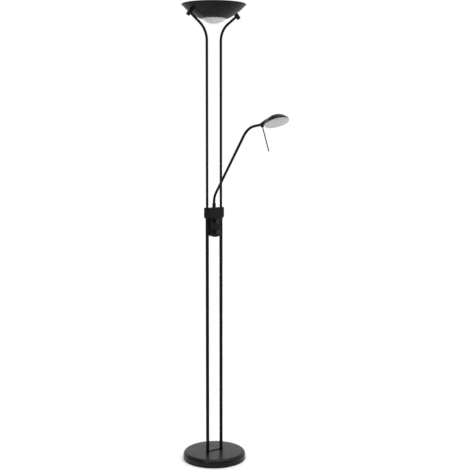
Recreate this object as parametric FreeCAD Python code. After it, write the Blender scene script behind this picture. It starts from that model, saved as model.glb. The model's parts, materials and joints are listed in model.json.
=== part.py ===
"""Torchiere floor lamp with a side reading arm.

Two tubes stand on a round weighted base, run through a dimmer housing and carry a
shallow uplighter bowl. A bent arm rises from the housing to a tilting reading head.

Millimetres. The origin is the centre of the base's underside, +Z is up, the two poles
stand on the X axis and the reading arm, the knobs and the housing front face -Y.
"""
import FreeCAD, Part
import math
import os
from FreeCAD import Placement, Rotation, Vector

# ---------------------------------------------------------------- sizes
LAMP_H = 1800.0          # floor to the bowl's rim
GAP = 0.02               # seat clearance, on the radius, between fixed round pieces
RUN = 0.06               # running clearance, on the radius
FACE_GAP = 0.3           # clearance between faces that move past each other

# base
BASE_R = 125.0
BASE_H = 32.0
BASE_SHOULDER_R = 14.0
COVER_T = 1.5
COVER_LIFT = 1.5         # lower edge of the cover above the floor
PAD_INSET = 7.0          # cover's wall to the felt pad's edge
PAD_T = 2.0
WEIGHT_T = 20.0          # iron disc, without its central boss
WEIGHT_GAP = 2.0         # iron disc to the cover's wall
WEIGHT_BOSS_R = 50.0
POCKET_D = 10.0          # recess under the disc for the pole nuts
POCKET_PLAY = 3.0        # washer to the recess wall
LEAD_SLOT_W = 10.0
INLET_Z = 11.0
INLET_BORE_R = 3.2
INLET_NECK_R = 4.95
INLET_FLANGE_R = 7.0
INLET_FLANGE_T = 2.0

# poles
POLE_X = 33.0            # each pole from the lamp's axis
LOWER_R = 6.5
LOWER_T = 1.0
UPPER_R = 5.0
UPPER_T = 0.8
UPPER_BEND_R = 85.0
UPPER_BEND_DEG = 52.0
FOOT_RING_W = 2.0        # ring's width round a pole
FOOT_T = 3.0
FOOT_BAR_W = 4.0
NIPPLE_PLAY = 0.5        # pole's bore to the threaded part, on the radius
NIPPLE_WALL = 2.0
NIPPLE_INSERT = 16.0     # length held in the pole
NUT_T = 5.5
NUT_WALL = 3.0           # thread to a flat
WASHER_T = 1.6
WASHER_W = 5.0

# dimmer housing
HOUSE_TOP = 1017.0
BLOCK_H = 43.0           # the wide upper block that holds the poles
BLOCK_R = 12.5           # its rounded ends, about the poles
BLOCK_CHAMFER = 4.5
BODY_GAP = 0.5           # each side of the lower body to its pole
BODY_STEP = 0.5          # block's front to the body's front
BODY_H = 116.0           # housing top to the lowest point of the body
BODY_CORNER_R = 5.0
BODY_SAG = 9.0           # lowest point of the curved edge below its ends
SHELL_T = 2.0
POLE_SEAT = 18.0         # upper pole length held in the block
HOUSE_SCREW_IN = 8.0     # body's side to a screw
HOUSE_SCREW_DROP = 25.0  # upper screws below the housing's top
HOUSE_SCREW_RISE = 25.0  # lower screws above the body's lowest point
HOUSE_SCREW_R = 1.5
HOUSE_SCREW_HEAD_R = 2.8
HOUSE_BOSS_R = 4.0

# dimmers
KNOB_DROP = 53.0         # upper knob below the housing's top
KNOB_RISE = 21.0         # lower knob above the body's lowest point
KNOB_R = 9.0
KNOB_L = 15.0
KNOB_STAND = 1.0         # knob's back to the housing's front
KNOB_FLUTES = 24
KNOB_OFF_DEG = 140.0     # mark's angle from the top when off, anticlockwise from the front
SHAFT_R = 2.0
NECK_R = 3.5
MODULE_PLAY = 1.0        # case to a screw pillar
MODULE_D = 13.0
MODULE_SPACE = 13.0      # between the two cases

# reading arm
ARM_R = 5.0
ARM_T = 1.0
ARM_LEAN = 39.1          # long straight run, from the vertical
ARM_RISE = 7.5           # end run, above the horizontal
ARM_FOOT_DROP = 21.0     # arm's lower end below the housing's top
ARM_KNEE_RISE = 42.0     # housing's top to where the vertical and the leaning runs would meet
ARM_KNEE_R = 60.0
ARM_ELBOW_R = 100.0
ARM_ELBOW_OUT = 218.9    # where the leaning and the end runs would meet
PIVOT_OUT = 304.0        # head pivot from the lamp's axis
COLLAR_WALL = 2.0
COLLAR_H = 15.2
BUSH_WALL = 1.0
BUSH_FLANGE_W = 1.5
BUSH_FLANGE_T = 1.5
BUSH_L = 13.0
SWIVEL_NUT_WALL = 1.5    # tube to a flat

# head joint
EYE_R = 5.5
EYE_T = 4.0
EYE_TUBE_GAP = 8.0       # pivot to the arm tube's end
PIN_R = 1.5
TILT_WASHER_T = 0.4
EAR_T = 2.5
ROD_R = 2.0
ROD_END = 105.0          # pivot to the handle's tip
ROD_SEAT_GAP = 1.0       # eye to the underside block that holds the handle
ROD_BLOCK_H = 3.8

# reading head
HEAD_TILT = 23.2         # above the horizontal
HEAD_REACH = 81.8        # pivot to the head's centre
SHELL_R = 45.0
SHELL_TOP = 1.0          # crown, above the pivot's level
SHELL_RIM = -27.0
SKIRT_H = 3.0
HEAD_WALL = 1.2
NECK_START = 14.0
NECK_TOP = 6.5
NECK_LOW = 0.5
TONGUE_L = 12.0          # knuckle's tongue under the neck
NECK_W = 12.0
NECK_W_END = 24.0
LENS_LAP = 0.4           # lens edge beyond the skirt
LENS_T = 3.5
LENS_SPIGOT_GAP = 1.8    # skirt's inside to the lens spigot
DISH_GAP = 7.0           # skirt's outside to the small reflector's edge

# uplighter bowl
BOWL_R = 125.0
BOWL_H = 53.5            # rim to the bowl's underside
BOWL_T = 1.2
BOWL_BULGE = 5.0         # arc's height over its chord
BEAD_R = 1.3
GLASS_PLAY = 0.6         # glass to the opening's edge
LIP_W = 8.4              # flat lip round the opening
GLASS_DROP = 21.5        # glass tip below the bowl
GLASS_T = 3.0
GLASS_R = 45.0
GLASS_FLANGE_W = 4.0
GLASS_FLANGE_T = 3.0
RING_LAP = 6.0           # ring beyond the glass flange
RING_BORE_IN = 1.5       # ring's bore inside the glass wall
RING_T = 1.2
STUD_GAP = 0.7           # flange to a stud
STUD_R = 1.5
STUD_H = 9.0
STUD_NUT_AF = 5.5
STUD_NUT_T = 2.4

# clamp barrels under the bowl
BARREL_INSET = 24.0      # bowl's edge to where a barrel's axis meets it
BARREL_R = 8.0
BARREL_L = 29.5
POLE_SOCKET = 16.0       # bowl to the pole's end, along the barrel
BARREL_NIPPLE_R = 4.0
BARREL_NIPPLE_BORE = 2.6
BARREL_NUT_AF = 12.0
BARREL_NUT_T = 4.0

# uplighter lamp
CARRIER_W = 18.0
CARRIER_T = 1.5
UPRIGHT_IN = 5.2         # stud circle to an upright
UPRIGHT_H = 37.0
TAB_L = 6.0
LAMP_AXIS_H = 27.0       # lamp axis above the carrier plate
LAMP_R = 5.0
LAMP_GAP = 6.0           # end holder to the quartz tube
LAMP_CAP_R = 3.6
HOLDER_L = 11.0
HOLDER_W = 14.0
HOLDER_H = 16.0
HOLDER_RECESS = 4.0
TROUGH_GAP = 4.0         # end holder to the trough
TROUGH_FLAT = 8.0
TROUGH_OUT = 28.0
TROUGH_RISE = 17.0
TROUGH_T = 0.8
PANE_OVER = 5.5          # pane beyond an upright
PANE_Y = 32.0
PANE_T = 3.0

# ---------------------------------------------------------------- sizes that follow
PAD_R = BASE_R - PAD_INSET
NIPPLE_R = LOWER_R - LOWER_T - NIPPLE_PLAY
NIPPLE_BORE_R = NIPPLE_R - NIPPLE_WALL
NUT_AF = 2 * (NIPPLE_R + NUT_WALL)
WASHER_R = NIPPLE_R + WASHER_W
POCKET_R = WASHER_R + POCKET_PLAY
FOOT_RING_R = LOWER_R + FOOT_RING_W
BODY_W = 2 * (POLE_X - LOWER_R - BODY_GAP)
BODY_D = 2 * (BLOCK_R - BODY_STEP)
CAVITY_W = BODY_W - 2 * SHELL_T
HOUSE_SCREW_X = BODY_W / 2 - HOUSE_SCREW_IN
HOUSE_SCREW_Z = (HOUSE_TOP - HOUSE_SCREW_DROP, HOUSE_TOP - BODY_H + HOUSE_SCREW_RISE)
KNOB_Z = (HOUSE_TOP - KNOB_DROP, HOUSE_TOP - BODY_H + KNOB_RISE)
MODULE_W = 2 * (HOUSE_SCREW_X - HOUSE_BOSS_R - MODULE_PLAY)
MODULE_H = KNOB_Z[0] - KNOB_Z[1] - MODULE_SPACE
ARM_FOOT_Z = HOUSE_TOP - ARM_FOOT_DROP
ARM_KNEE_Z = HOUSE_TOP + ARM_KNEE_RISE
BUSH_R = ARM_R + BUSH_WALL
BUSH_FLANGE_R = BUSH_R + BUSH_FLANGE_W
COLLAR_R = ARM_R + COLLAR_WALL
SWIVEL_NUT_AF = 2 * (ARM_R + SWIVEL_NUT_WALL)
ROD_SEAT = EYE_R + ROD_SEAT_GAP
LENS_R = SHELL_R + LENS_LAP
LENS_SPIGOT_R = SHELL_R - HEAD_WALL - LENS_SPIGOT_GAP
DISH_R = SHELL_R - DISH_GAP
LIP_R = GLASS_R + GLASS_PLAY
LIP_OUT_R = LIP_R + LIP_W
GLASS_FLANGE_R = GLASS_R + GLASS_FLANGE_W
RING_R = GLASS_FLANGE_R + RING_LAP
RING_BORE_R = GLASS_R - RING_BORE_IN
STUD_PCR = GLASS_FLANGE_R + STUD_R + STUD_GAP
BARREL_AT = BOWL_R - BARREL_INSET
UPRIGHT_X = STUD_PCR - UPRIGHT_IN
LAMP_HALF = UPRIGHT_X - HOLDER_L - LAMP_GAP
TROUGH_HALF = UPRIGHT_X - HOLDER_L - TROUGH_GAP
PANE_X = UPRIGHT_X + PANE_OVER

# ---------------------------------------------------------------- levels
COVER_IN_Z = BASE_H - COVER_T
WEIGHT_TOP = PAD_T + WEIGHT_T
POCKET_TOP = PAD_T + POCKET_D
BODY_LOW = HOUSE_TOP - BODY_H
BLOCK_LOW = HOUSE_TOP - BLOCK_H
SEAT_Z = HOUSE_TOP - POLE_SEAT
FRONT_Y = -BODY_D / 2
BOWL_LOW = LAMP_H - BOWL_H
LIP_TOP = BOWL_LOW + BOWL_T
FLANGE_Z = LIP_TOP
RING_Z = FLANGE_Z + GLASS_FLANGE_T
CARRIER_Z = RING_Z + RING_T
PLATE_TOP = CARRIER_Z + CARRIER_T
LAMP_Z = PLATE_TOP + LAMP_AXIS_H
UPRIGHT_TOP = PLATE_TOP + UPRIGHT_H
ARM_ELBOW_Z = ARM_KNEE_Z + ARM_ELBOW_OUT / math.tan(math.radians(ARM_LEAN))
PIVOT_Z = ARM_ELBOW_Z + (PIVOT_OUT - ARM_ELBOW_OUT) * math.tan(math.radians(ARM_RISE))
PIVOT = Vector(0, -PIVOT_OUT, PIVOT_Z)
FORK_IN = EYE_T / 2 + TILT_WASHER_T + 0.1
FORK_OUT = FORK_IN + EAR_T


# ---------------------------------------------------------------- building helpers
def cyl(r, z0, z1, x=0.0, y=0.0):
    return Part.makeCylinder(r, z1 - z0, Vector(x, y, z0))


def pipe(r_out, r_in, z0, z1, x=0.0, y=0.0):
    return cyl(r_out, z0, z1, x, y).cut(cyl(r_in, z0 - 1, z1 + 1, x, y))


def bar(p, q, r):
    """Round bar of radius r from point p to point q."""
    axis = q - p
    return Part.makeCylinder(r, axis.Length, p, axis)


def box(x0, x1, y0, y1, z0, z1):
    return Part.makeBox(x1 - x0, y1 - y0, z1 - z0, Vector(x0, y0, z0))


def hexagon(af, z0, z1, bore, x=0.0, y=0.0):
    """Hexagon nut of width af across its flats, with a round bore."""
    r = af / math.sqrt(3)
    pts = [Vector(x + r * math.cos(math.radians(60 * i)), y + r * math.sin(math.radians(60 * i)), z0)
           for i in range(7)]
    solid = Part.Face(Part.makePolygon(pts)).extrude(Vector(0, 0, z1 - z0))
    return solid.cut(cyl(bore, z0 - 1, z1 + 1, x, y))


def lathe(points):
    """Solid of revolution about Z. A point is (r, z), or (r, z, rm, zm) for an arc that
    comes from the point before it through (rm, zm)."""
    edges = []
    ring = points + points[:1]
    for a, b in zip(ring, ring[1:]):
        pa = Vector(a[0], 0, a[1])
        pb = Vector(b[0], 0, b[1])
        if len(b) == 4:
            edges.append(Part.Arc(pa, Vector(b[2], 0, b[3]), pb).toShape())
        elif pa.distanceToPoint(pb) > 1e-6:
            edges.append(Part.LineSegment(pa, pb).toShape())
    face = Part.Face(Part.Wire(edges))
    return face.revolve(Vector(0, 0, 0), Vector(0, 0, 1), 360)


def prism(points, vec):
    """Flat polygon through the points, extruded along vec."""
    return Part.Face(Part.makePolygon(points + points[:1])).extrude(vec)


def fuse(*solids):
    return solids[0].multiFuse(list(solids[1:])).removeSplitter()


def moved(shape, vec=Vector(0, 0, 0), rot=None):
    """Copy of the shape, turned by rot about the origin, then moved by vec."""
    out = shape.copy()
    out.Placement = Placement(vec, rot or Rotation()).multiply(out.Placement)
    return out


def mirrored_x(shape):
    return shape.mirror(Vector(0, 0, 0), Vector(1, 0, 0))


def bent_wire(points, radii):
    """Polyline with a tangent arc at each inner point."""
    edges = []
    start = points[0]
    for a, b, c, r in zip(points, points[1:], points[2:], radii):
        u = (a - b).normalize()
        v = (c - b).normalize()
        turn = math.pi - u.getAngle(v)
        back = r * math.tan(turn / 2)
        t0 = b + u * back
        t1 = b + v * back
        middle = (u + v).normalize()
        reach = r / math.cos(turn / 2) - r
        edges.append(Part.LineSegment(start, t0).toShape())
        edges.append(Part.Arc(t0, b + middle * reach, t1).toShape())
        start = t1
    edges.append(Part.LineSegment(start, points[-1]).toShape())
    return Part.Wire(edges)


def swept(wire, r):
    """Round solid of radius r along a wire."""
    first = wire.Edges[0]
    axis = first.tangentAt(first.FirstParameter)
    section = Part.Wire(Part.makeCircle(r, first.valueAt(first.FirstParameter), axis))
    return wire.makePipeShell([section], True, False)


def bent_tube(wire, r_out, wall):
    return swept(wire, r_out).cut(swept(wire, r_out - wall))


def both_sides(shape):
    """The shape and its mirror image, as two solids in one node."""
    return Part.makeCompound([shape, mirrored_x(shape)])


def save(name, shape):
    if not shape.isValid():
        raise ValueError(name + " is not a valid shape")
    shape.exportStep(os.path.join("parts", name + ".step"))
    print(name, len(shape.Solids), round(shape.Volume, 1))


# ---------------------------------------------------------------- base
def base_pad():
    return cyl(PAD_R, 0, PAD_T)


def pole_bores(z0, z1):
    r = NIPPLE_R + FACE_GAP
    return both_sides(cyl(r, z0, z1, POLE_X))


def base_weight():
    """Iron disc with a central boss under the cover, a nut pocket and a lead channel."""
    r = BASE_R - COVER_T - WEIGHT_GAP
    disc = lathe([(0, PAD_T), (r, PAD_T), (r, WEIGHT_TOP - 4), (r - 4, WEIGHT_TOP), (0, WEIGHT_TOP)])
    disc = disc.fuse(cyl(WEIGHT_BOSS_R, WEIGHT_TOP - 1, COVER_IN_Z))
    pocket = fuse(cyl(POCKET_R, 0, POCKET_TOP, POLE_X), cyl(POCKET_R, 0, POCKET_TOP, -POLE_X),
                  box(-POLE_X, POLE_X, -POCKET_R, POCKET_R, 0, POCKET_TOP))
    slot = box(-LEAD_SLOT_W / 2, LEAD_SLOT_W / 2, 0, BASE_R, 0, INLET_Z + LEAD_SLOT_W / 2)
    well = box(-INLET_FLANGE_R - 1, INLET_FLANGE_R + 1, r - 4, BASE_R, 0, WEIGHT_TOP)
    for cutter in (pocket, slot, well, pole_bores(0, BASE_H)):
        disc = disc.cut(cutter)
    return disc.removeSplitter()


def shoulder(r, top, sr):
    """Outline points of the rounded shoulder, from the wall to the flat top."""
    k = sr * (1 - math.sqrt(0.5))
    return [(r, top - sr), (r - sr, top, r - k, top - k)]


def base_cover():
    """Pressed steel cover with a large rounded shoulder."""
    ri = BASE_R - COVER_T
    outer = shoulder(BASE_R, BASE_H, BASE_SHOULDER_R)
    inner = shoulder(ri, COVER_IN_Z, BASE_SHOULDER_R - COVER_T)
    shell = lathe([(ri, COVER_LIFT), (BASE_R - 0.5, COVER_LIFT), (BASE_R, COVER_LIFT + 0.5)] + outer
                  + [(0, BASE_H)]).cut(lathe([(0, 0), (ri, 0)] + inner + [(0, COVER_IN_Z)]))
    hole = bar(Vector(0, BASE_R - 10, INLET_Z), Vector(0, BASE_R + 5, INLET_Z), INLET_NECK_R + GAP)
    return shell.cut(pole_bores(COVER_IN_Z - 1, BASE_H + 1)).cut(hole)


def inlet_grommet():
    """Flanged bush for the supply lead, in the cover's rear wall."""
    inner_y = math.sqrt((BASE_R - COVER_T) ** 2 - INLET_FLANGE_R ** 2)
    at = [Vector(0, y, INLET_Z) for y in (inner_y - INLET_FLANGE_T, inner_y, BASE_R, BASE_R + INLET_FLANGE_T)]
    solid = fuse(bar(at[0], at[1], INLET_FLANGE_R), bar(at[0], at[3], INLET_NECK_R),
                 bar(at[2], at[3], INLET_FLANGE_R))
    back = Vector(0, 1, 0)
    return solid.cut(bar(at[0] - back, at[3] + back, INLET_BORE_R))


def foot_bridge():
    """Thin bridge on the cover: a ring round each pole and a bar between the rings."""
    top = BASE_H + FOOT_T
    solid = fuse(cyl(FOOT_RING_R, BASE_H, top, POLE_X), cyl(FOOT_RING_R, BASE_H, top, -POLE_X),
                 box(-POLE_X, POLE_X, -FOOT_BAR_W / 2, FOOT_BAR_W / 2, BASE_H, top))
    r = LOWER_R + GAP
    return solid.cut(both_sides(cyl(r, BASE_H - 1, top + 1, POLE_X)))


def pole_nipples():
    """Hollow threaded bush in each pole's foot, which the base nuts pull down on."""
    low = POCKET_TOP - WASHER_T - NUT_T - 2
    solid = fuse(cyl(NIPPLE_R, low, BASE_H + 2, POLE_X),
                 cyl(LOWER_R - LOWER_T - GAP, BASE_H + 0.5, BASE_H + 0.5 + NIPPLE_INSERT, POLE_X))
    return both_sides(solid.cut(cyl(NIPPLE_BORE_R, low - 1, BASE_H + 30, POLE_X)))


def base_washers():
    return both_sides(pipe(WASHER_R, NIPPLE_R + GAP, POCKET_TOP - WASHER_T, POCKET_TOP, POLE_X))


def base_nuts():
    top = POCKET_TOP - WASHER_T
    return both_sides(hexagon(NUT_AF, top - NUT_T, top, NIPPLE_R + GAP, POLE_X))


# ---------------------------------------------------------------- poles
def lower_pole():
    return pipe(LOWER_R, LOWER_R - LOWER_T, BASE_H, SEAT_Z - 4, POLE_X)


def pole_connectors():
    """Stepped sleeve in the housing: wide end in the lower pole, narrow end in the upper."""
    solid = fuse(cyl(LOWER_R - LOWER_T - GAP, SEAT_Z - 26, SEAT_Z - 3, POLE_X),
                 cyl(LOWER_R, SEAT_Z - 4, SEAT_Z, POLE_X),
                 cyl(UPPER_R - UPPER_T - GAP, SEAT_Z - 1, SEAT_Z + 22, POLE_X))
    return both_sides(solid.cut(cyl(2.5, SEAT_Z - 40, SEAT_Z + 40, POLE_X)))


def bowl_arc():
    """Centre and radius of the bowl's outer arc, in the (r, z) half plane."""
    p = Vector(LIP_OUT_R, 0, BOWL_LOW)
    q = Vector(BOWL_R - BEAD_R, 0, LAMP_H - BEAD_R)
    chord = q - p
    out = Vector(chord.z, 0, -chord.x).normalize()
    radius = chord.Length ** 2 / (8 * BOWL_BULGE) + BOWL_BULGE / 2
    return (p + q) * 0.5 + out * (BOWL_BULGE - radius), radius


def barrel_axis():
    """Where a barrel's axis meets the bowl's outside, and its direction, for +X."""
    centre, radius = bowl_arc()
    z = centre.z - math.sqrt(radius ** 2 - (BARREL_AT - centre.x) ** 2)
    foot = Vector(BARREL_AT, 0, z)
    return foot, (foot - centre).normalize()


def upper_pole_points():
    """Corner points of the +X upper pole, which ends on its barrel's axis."""
    foot, down = barrel_axis()
    lean = math.radians(UPPER_BEND_DEG)
    end = foot + down * POLE_SOCKET
    corner_z = end.z - (end.x - POLE_X) / math.tan(lean)
    return [Vector(POLE_X, 0, SEAT_Z), Vector(POLE_X, 0, corner_z), end]


def upper_pole():
    return bent_tube(bent_wire(upper_pole_points(), [UPPER_BEND_R]), UPPER_R, UPPER_T)


def barrel():
    """Short round clamp between an upper pole's end and the bowl."""
    foot, down = barrel_axis()
    corner, end = upper_pole_points()[1:]
    along = (end - corner).normalize()
    solid = bar(foot, foot + down * BARREL_L, BARREL_R)
    solid = solid.cut(bar(end - along * 30, end + along * 0.5, UPPER_R + GAP))
    return solid.cut(bar(foot - down, foot + down * POLE_SOCKET, BARREL_NIPPLE_R + GAP))


def barrel_nipples():
    """Hollow stud that runs from each barrel through the bowl's wall."""
    foot, down = barrel_axis()
    inner = foot - down * (BOWL_T + BARREL_NUT_T + 1.5)
    outer = foot + down * (POLE_SOCKET - UPPER_R - 1)
    solid = bar(inner, outer, BARREL_NIPPLE_R)
    return both_sides(solid.cut(bar(inner - down, outer + down, BARREL_NIPPLE_BORE)))


def barrel_nuts():
    foot, down = barrel_axis()
    nut = hexagon(BARREL_NUT_AF, 0, BARREL_NUT_T, BARREL_NIPPLE_R + GAP)
    turned = Rotation(Vector(0, 0, 1), down * -1)
    return both_sides(moved(nut, foot - down * (BOWL_T + 0.2), turned))


def barrel_grub_screws():
    """Set screw in each barrel's outer end, which presses on the pole."""
    foot, down = barrel_axis()
    start = foot + down * (POLE_SOCKET + UPPER_R + 0.1)
    return both_sides(bar(start, foot + down * (BARREL_L - 0.6), 2.0))


def drilled_barrel():
    foot, down = barrel_axis()
    start = foot + down * POLE_SOCKET
    return barrel().cut(bar(start, foot + down * (BARREL_L + 1), 2.0 + GAP))


# ---------------------------------------------------------------- dimmer housing
def body_outline(inset):
    """Lower body, with its curved lower edge, shrunk on every side by inset."""
    half = BODY_W / 2
    radius = (half ** 2 + BODY_SAG ** 2) / (2 * BODY_SAG)
    centre_z = BODY_LOW + radius
    w = half - inset
    d = BODY_D / 2 - inset
    solid = box(-w, w, -d, d, BODY_LOW - 5, BLOCK_LOW + 6)
    corner = BODY_CORNER_R - inset
    uprights = [e for e in solid.Edges if abs(e.tangentAt(e.FirstParameter).z) > 0.9]
    solid = solid.makeFillet(corner, uprights)
    drum = bar(Vector(0, -BODY_D, centre_z), Vector(0, BODY_D, centre_z), radius - inset)
    return solid.common(fuse(drum, box(-60, 60, -BODY_D, BODY_D, centre_z, HOUSE_TOP)))


def block_outline():
    """Upper block, round at both ends about the poles, chamfered below."""
    solid = fuse(cyl(BLOCK_R, BLOCK_LOW, HOUSE_TOP, POLE_X), cyl(BLOCK_R, BLOCK_LOW, HOUSE_TOP, -POLE_X),
                 box(-POLE_X, POLE_X, -BLOCK_R, BLOCK_R, BLOCK_LOW, HOUSE_TOP))
    low = [e for e in solid.Edges if abs(e.BoundBox.ZMax - BLOCK_LOW) < 1e-6]
    solid = solid.makeChamfer(BLOCK_CHAMFER, low)
    high = [e for e in solid.Edges if abs(e.BoundBox.ZMin - HOUSE_TOP) < 1e-6]
    return solid.makeFillet(1.0, high)


def screw_bar(x, z, y0, y1, r):
    return bar(Vector(x, y0, z), Vector(x, y1, z), r)


def screw_places():
    return [(side * HOUSE_SCREW_X, z) for z in HOUSE_SCREW_Z for side in (-1, 1)]


def housing_solid():
    """Whole housing, hollow, with pole seats, bush boss and screw bosses."""
    roof = HOUSE_TOP - SHELL_T - 1
    solid = fuse(block_outline(), body_outline(0))
    half = CAVITY_W / 2
    hollow = body_outline(SHELL_T).fuse(
        box(-half, half, -BODY_D / 2 + SHELL_T, BODY_D / 2 - SHELL_T, BLOCK_LOW, roof))
    solid = solid.cut(hollow)
    boss = cyl(BUSH_R + 3, HOUSE_TOP - BUSH_L + 2, roof + 1)
    pillars = [screw_bar(x, z, -BODY_D / 2 + 1, BODY_D / 2 - 1, HOUSE_BOSS_R) for x, z in screw_places()]
    solid = fuse(solid, boss, *pillars)
    solid = solid.cut(cyl(BUSH_R + GAP, HOUSE_TOP - 40, HOUSE_TOP + 1))
    solid = solid.cut(both_sides(cyl(LOWER_R + GAP, BODY_LOW - 20, SEAT_Z, POLE_X)))
    return solid.cut(both_sides(cyl(UPPER_R + GAP, SEAT_Z - 1, HOUSE_TOP + 1, POLE_X)))


def half_space(side):
    return box(-100, 100, min(0, side * 100), max(0, side * 100), BODY_LOW - 50, HOUSE_TOP + 50)


def housing_front_shell():
    shell = housing_solid().common(half_space(-1))
    for z in KNOB_Z:
        shell = shell.cut(screw_bar(0, z, FRONT_Y - 5, FRONT_Y + SHELL_T + 1, NECK_R + GAP))
    for x, z in screw_places():
        shell = shell.cut(screw_bar(x, z, 1, FRONT_Y + 4, HOUSE_SCREW_R + GAP))
    return shell


def housing_rear_shell():
    shell = housing_solid().common(half_space(1))
    for x, z in screw_places():
        shell = shell.cut(screw_bar(x, z, -1, BLOCK_R + 1, HOUSE_SCREW_R + GAP))
        shell = shell.cut(screw_bar(x, z, BODY_D / 2 - 2.4, BLOCK_R + 1, HOUSE_SCREW_HEAD_R + 0.2))
    return shell


def housing_screws():
    """Four cross-recessed screws that hold the two shells together."""
    head_y = BODY_D / 2 - 2.4
    out = []
    for x, z in screw_places():
        solid = fuse(screw_bar(x, z, FRONT_Y + 4.5, head_y + 0.5, HOUSE_SCREW_R),
                     screw_bar(x, z, head_y, head_y + 2, HOUSE_SCREW_HEAD_R))
        slot = box(x - 1.6, x + 1.6, head_y + 1, head_y + 3, z - 0.4, z + 0.4)
        cross = box(x - 0.4, x + 0.4, head_y + 1, head_y + 3, z - 1.6, z + 1.6)
        out.append(solid.cut(slot).cut(cross))
    return Part.makeCompound(out)


def dimmer_module(z):
    """Dimmer case with the threaded neck that passes through the housing's front."""
    back = FRONT_Y + SHELL_T
    low = z - MODULE_H / 2
    case = box(-MODULE_W / 2, MODULE_W / 2, back, back + MODULE_D, low, low + MODULE_H)
    neck = screw_bar(0, z, back + 1, FRONT_Y - 3.5, NECK_R)
    return case.fuse(neck).cut(screw_bar(0, z, FRONT_Y - 10, back + 8, SHAFT_R + RUN))


def dimmer_modules():
    return Part.makeCompound([dimmer_module(z) for z in KNOB_Z])


def dimmer_nuts():
    """Thin nut on each dimmer's neck, against the housing's front."""
    out = []
    for z in KNOB_Z:
        nut = hexagon(9.0, 0, 2.0, NECK_R + GAP)
        out.append(moved(nut, Vector(0, FRONT_Y, z), Rotation(Vector(1, 0, 0), 90)))
    return Part.makeCompound(out)


def dimmer_shaft(z):
    tip = FRONT_Y - KNOB_STAND - KNOB_L + 3.5
    return screw_bar(0, z, FRONT_Y + SHELL_T + 8, tip, SHAFT_R)


def dimmer_knob(z):
    """Fluted knob, hollow at the back over the neck nut, with a groove that marks its turn."""
    knob = cyl(KNOB_R, 0, KNOB_L)
    rim = [e for e in knob.Edges if abs(e.BoundBox.ZMin - KNOB_L) < 1e-6]
    knob = knob.makeChamfer(1.0, rim)
    flutes = []
    for i in range(KNOB_FLUTES):
        a = 2 * math.pi * (i + 0.5) / KNOB_FLUTES
        flutes.append(cyl(0.55, 1.5, KNOB_L - 2.0, (KNOB_R + 0.2) * math.cos(a), (KNOB_R + 0.2) * math.sin(a)))
    knob = knob.cut(Part.makeCompound(flutes))
    knob = knob.cut(cyl(6.5, -1, 5.5)).cut(cyl(SHAFT_R + GAP, 0, KNOB_L - 3.4))
    groove = box(-0.6, 0.6, 2.5, KNOB_R - 1.4, KNOB_L - 0.8, KNOB_L + 1)
    knob = knob.cut(moved(groove, rot=Rotation(Vector(0, 0, 1), KNOB_OFF_DEG)))
    return moved(knob, Vector(0, FRONT_Y - KNOB_STAND, z), Rotation(Vector(1, 0, 0), 90))


def terminal_block():
    """Three-way terminal block above the dimmers, on the rear shell's wall."""
    low = KNOB_Z[0] + MODULE_H / 2 + 3
    wall = BODY_D / 2 - SHELL_T
    block = box(-12, 12, wall - 10, wall, low, low + 6)
    for i in (-1, 0, 1):
        block = block.cut(cyl(2.0 + GAP, low + 2, low + 7, i * 7.5, wall - 5))
        block = block.cut(screw_bar(i * 7.5, low + 1.9, wall - 11, wall + 1, 1.2))
    return block


def terminal_screws():
    low = KNOB_Z[0] + MODULE_H / 2 + 3
    y = BODY_D / 2 - SHELL_T - 5
    out = []
    for i in (-1, 0, 1):
        screw = cyl(2.0, low + 3.2, low + 5.6, i * 7.5, y)
        out.append(screw.cut(box(i * 7.5 - 2.5, i * 7.5 + 2.5, y - 0.4, y + 0.4, low + 4.8, low + 6)))
    return Part.makeCompound(out)


# ---------------------------------------------------------------- reading arm
def swivel_bush():
    """Flanged bush in the housing's roof, in which the arm turns."""
    solid = fuse(cyl(BUSH_R, HOUSE_TOP - BUSH_L, HOUSE_TOP + 1),
                 cyl(BUSH_FLANGE_R, HOUSE_TOP, HOUSE_TOP + BUSH_FLANGE_T))
    return solid.cut(cyl(ARM_R + RUN, HOUSE_TOP - BUSH_L - 1, HOUSE_TOP + 5))


def arm_points():
    return [Vector(0, 0, ARM_FOOT_Z), Vector(0, 0, ARM_KNEE_Z), Vector(0, -ARM_ELBOW_OUT, ARM_ELBOW_Z),
            PIVOT + arm_way() * -EYE_TUBE_GAP]


def arm_way():
    """Direction of the arm's end run."""
    rise = math.radians(ARM_RISE)
    return Vector(0, -math.cos(rise), math.sin(rise))


def arm_tube():
    wire = bent_wire(arm_points(), [ARM_KNEE_R, ARM_ELBOW_R])
    return bent_tube(wire, ARM_R, ARM_T)


def arm_collar():
    """Collar pinned to the arm, which rides on the bush's flange."""
    low = HOUSE_TOP + BUSH_FLANGE_T + FACE_GAP
    solid = cyl(COLLAR_R, low, low + COLLAR_H)
    top = [e for e in solid.Edges if abs(e.BoundBox.ZMin - low - COLLAR_H) < 1e-6]
    solid = solid.makeChamfer(1.0, top).cut(cyl(ARM_R + GAP, low - 1, low + COLLAR_H + 1))
    z = low + COLLAR_H / 2
    return solid.cut(bar(Vector(0, 0, z), Vector(0, 20, z), 1.5 + GAP))


def collar_grub_screw():
    z = HOUSE_TOP + BUSH_FLANGE_T + FACE_GAP + COLLAR_H / 2
    solid = bar(Vector(0, ARM_R + GAP, z), Vector(0, COLLAR_R - 0.1, z), 1.5)
    return solid.common(bar(Vector(0, 0, z - 5), Vector(0, 0, z + 5), 20)).cut(
        cyl(ARM_R + GAP, z - 5, z + 5))


def swivel_washer():
    top = HOUSE_TOP - BUSH_L - FACE_GAP
    return pipe(BUSH_FLANGE_R, ARM_R + GAP, top - 1.2, top)


def swivel_nut():
    top = HOUSE_TOP - BUSH_L - FACE_GAP - 1.2
    return hexagon(SWIVEL_NUT_AF, top - 4.5, top, ARM_R + GAP)


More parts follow.
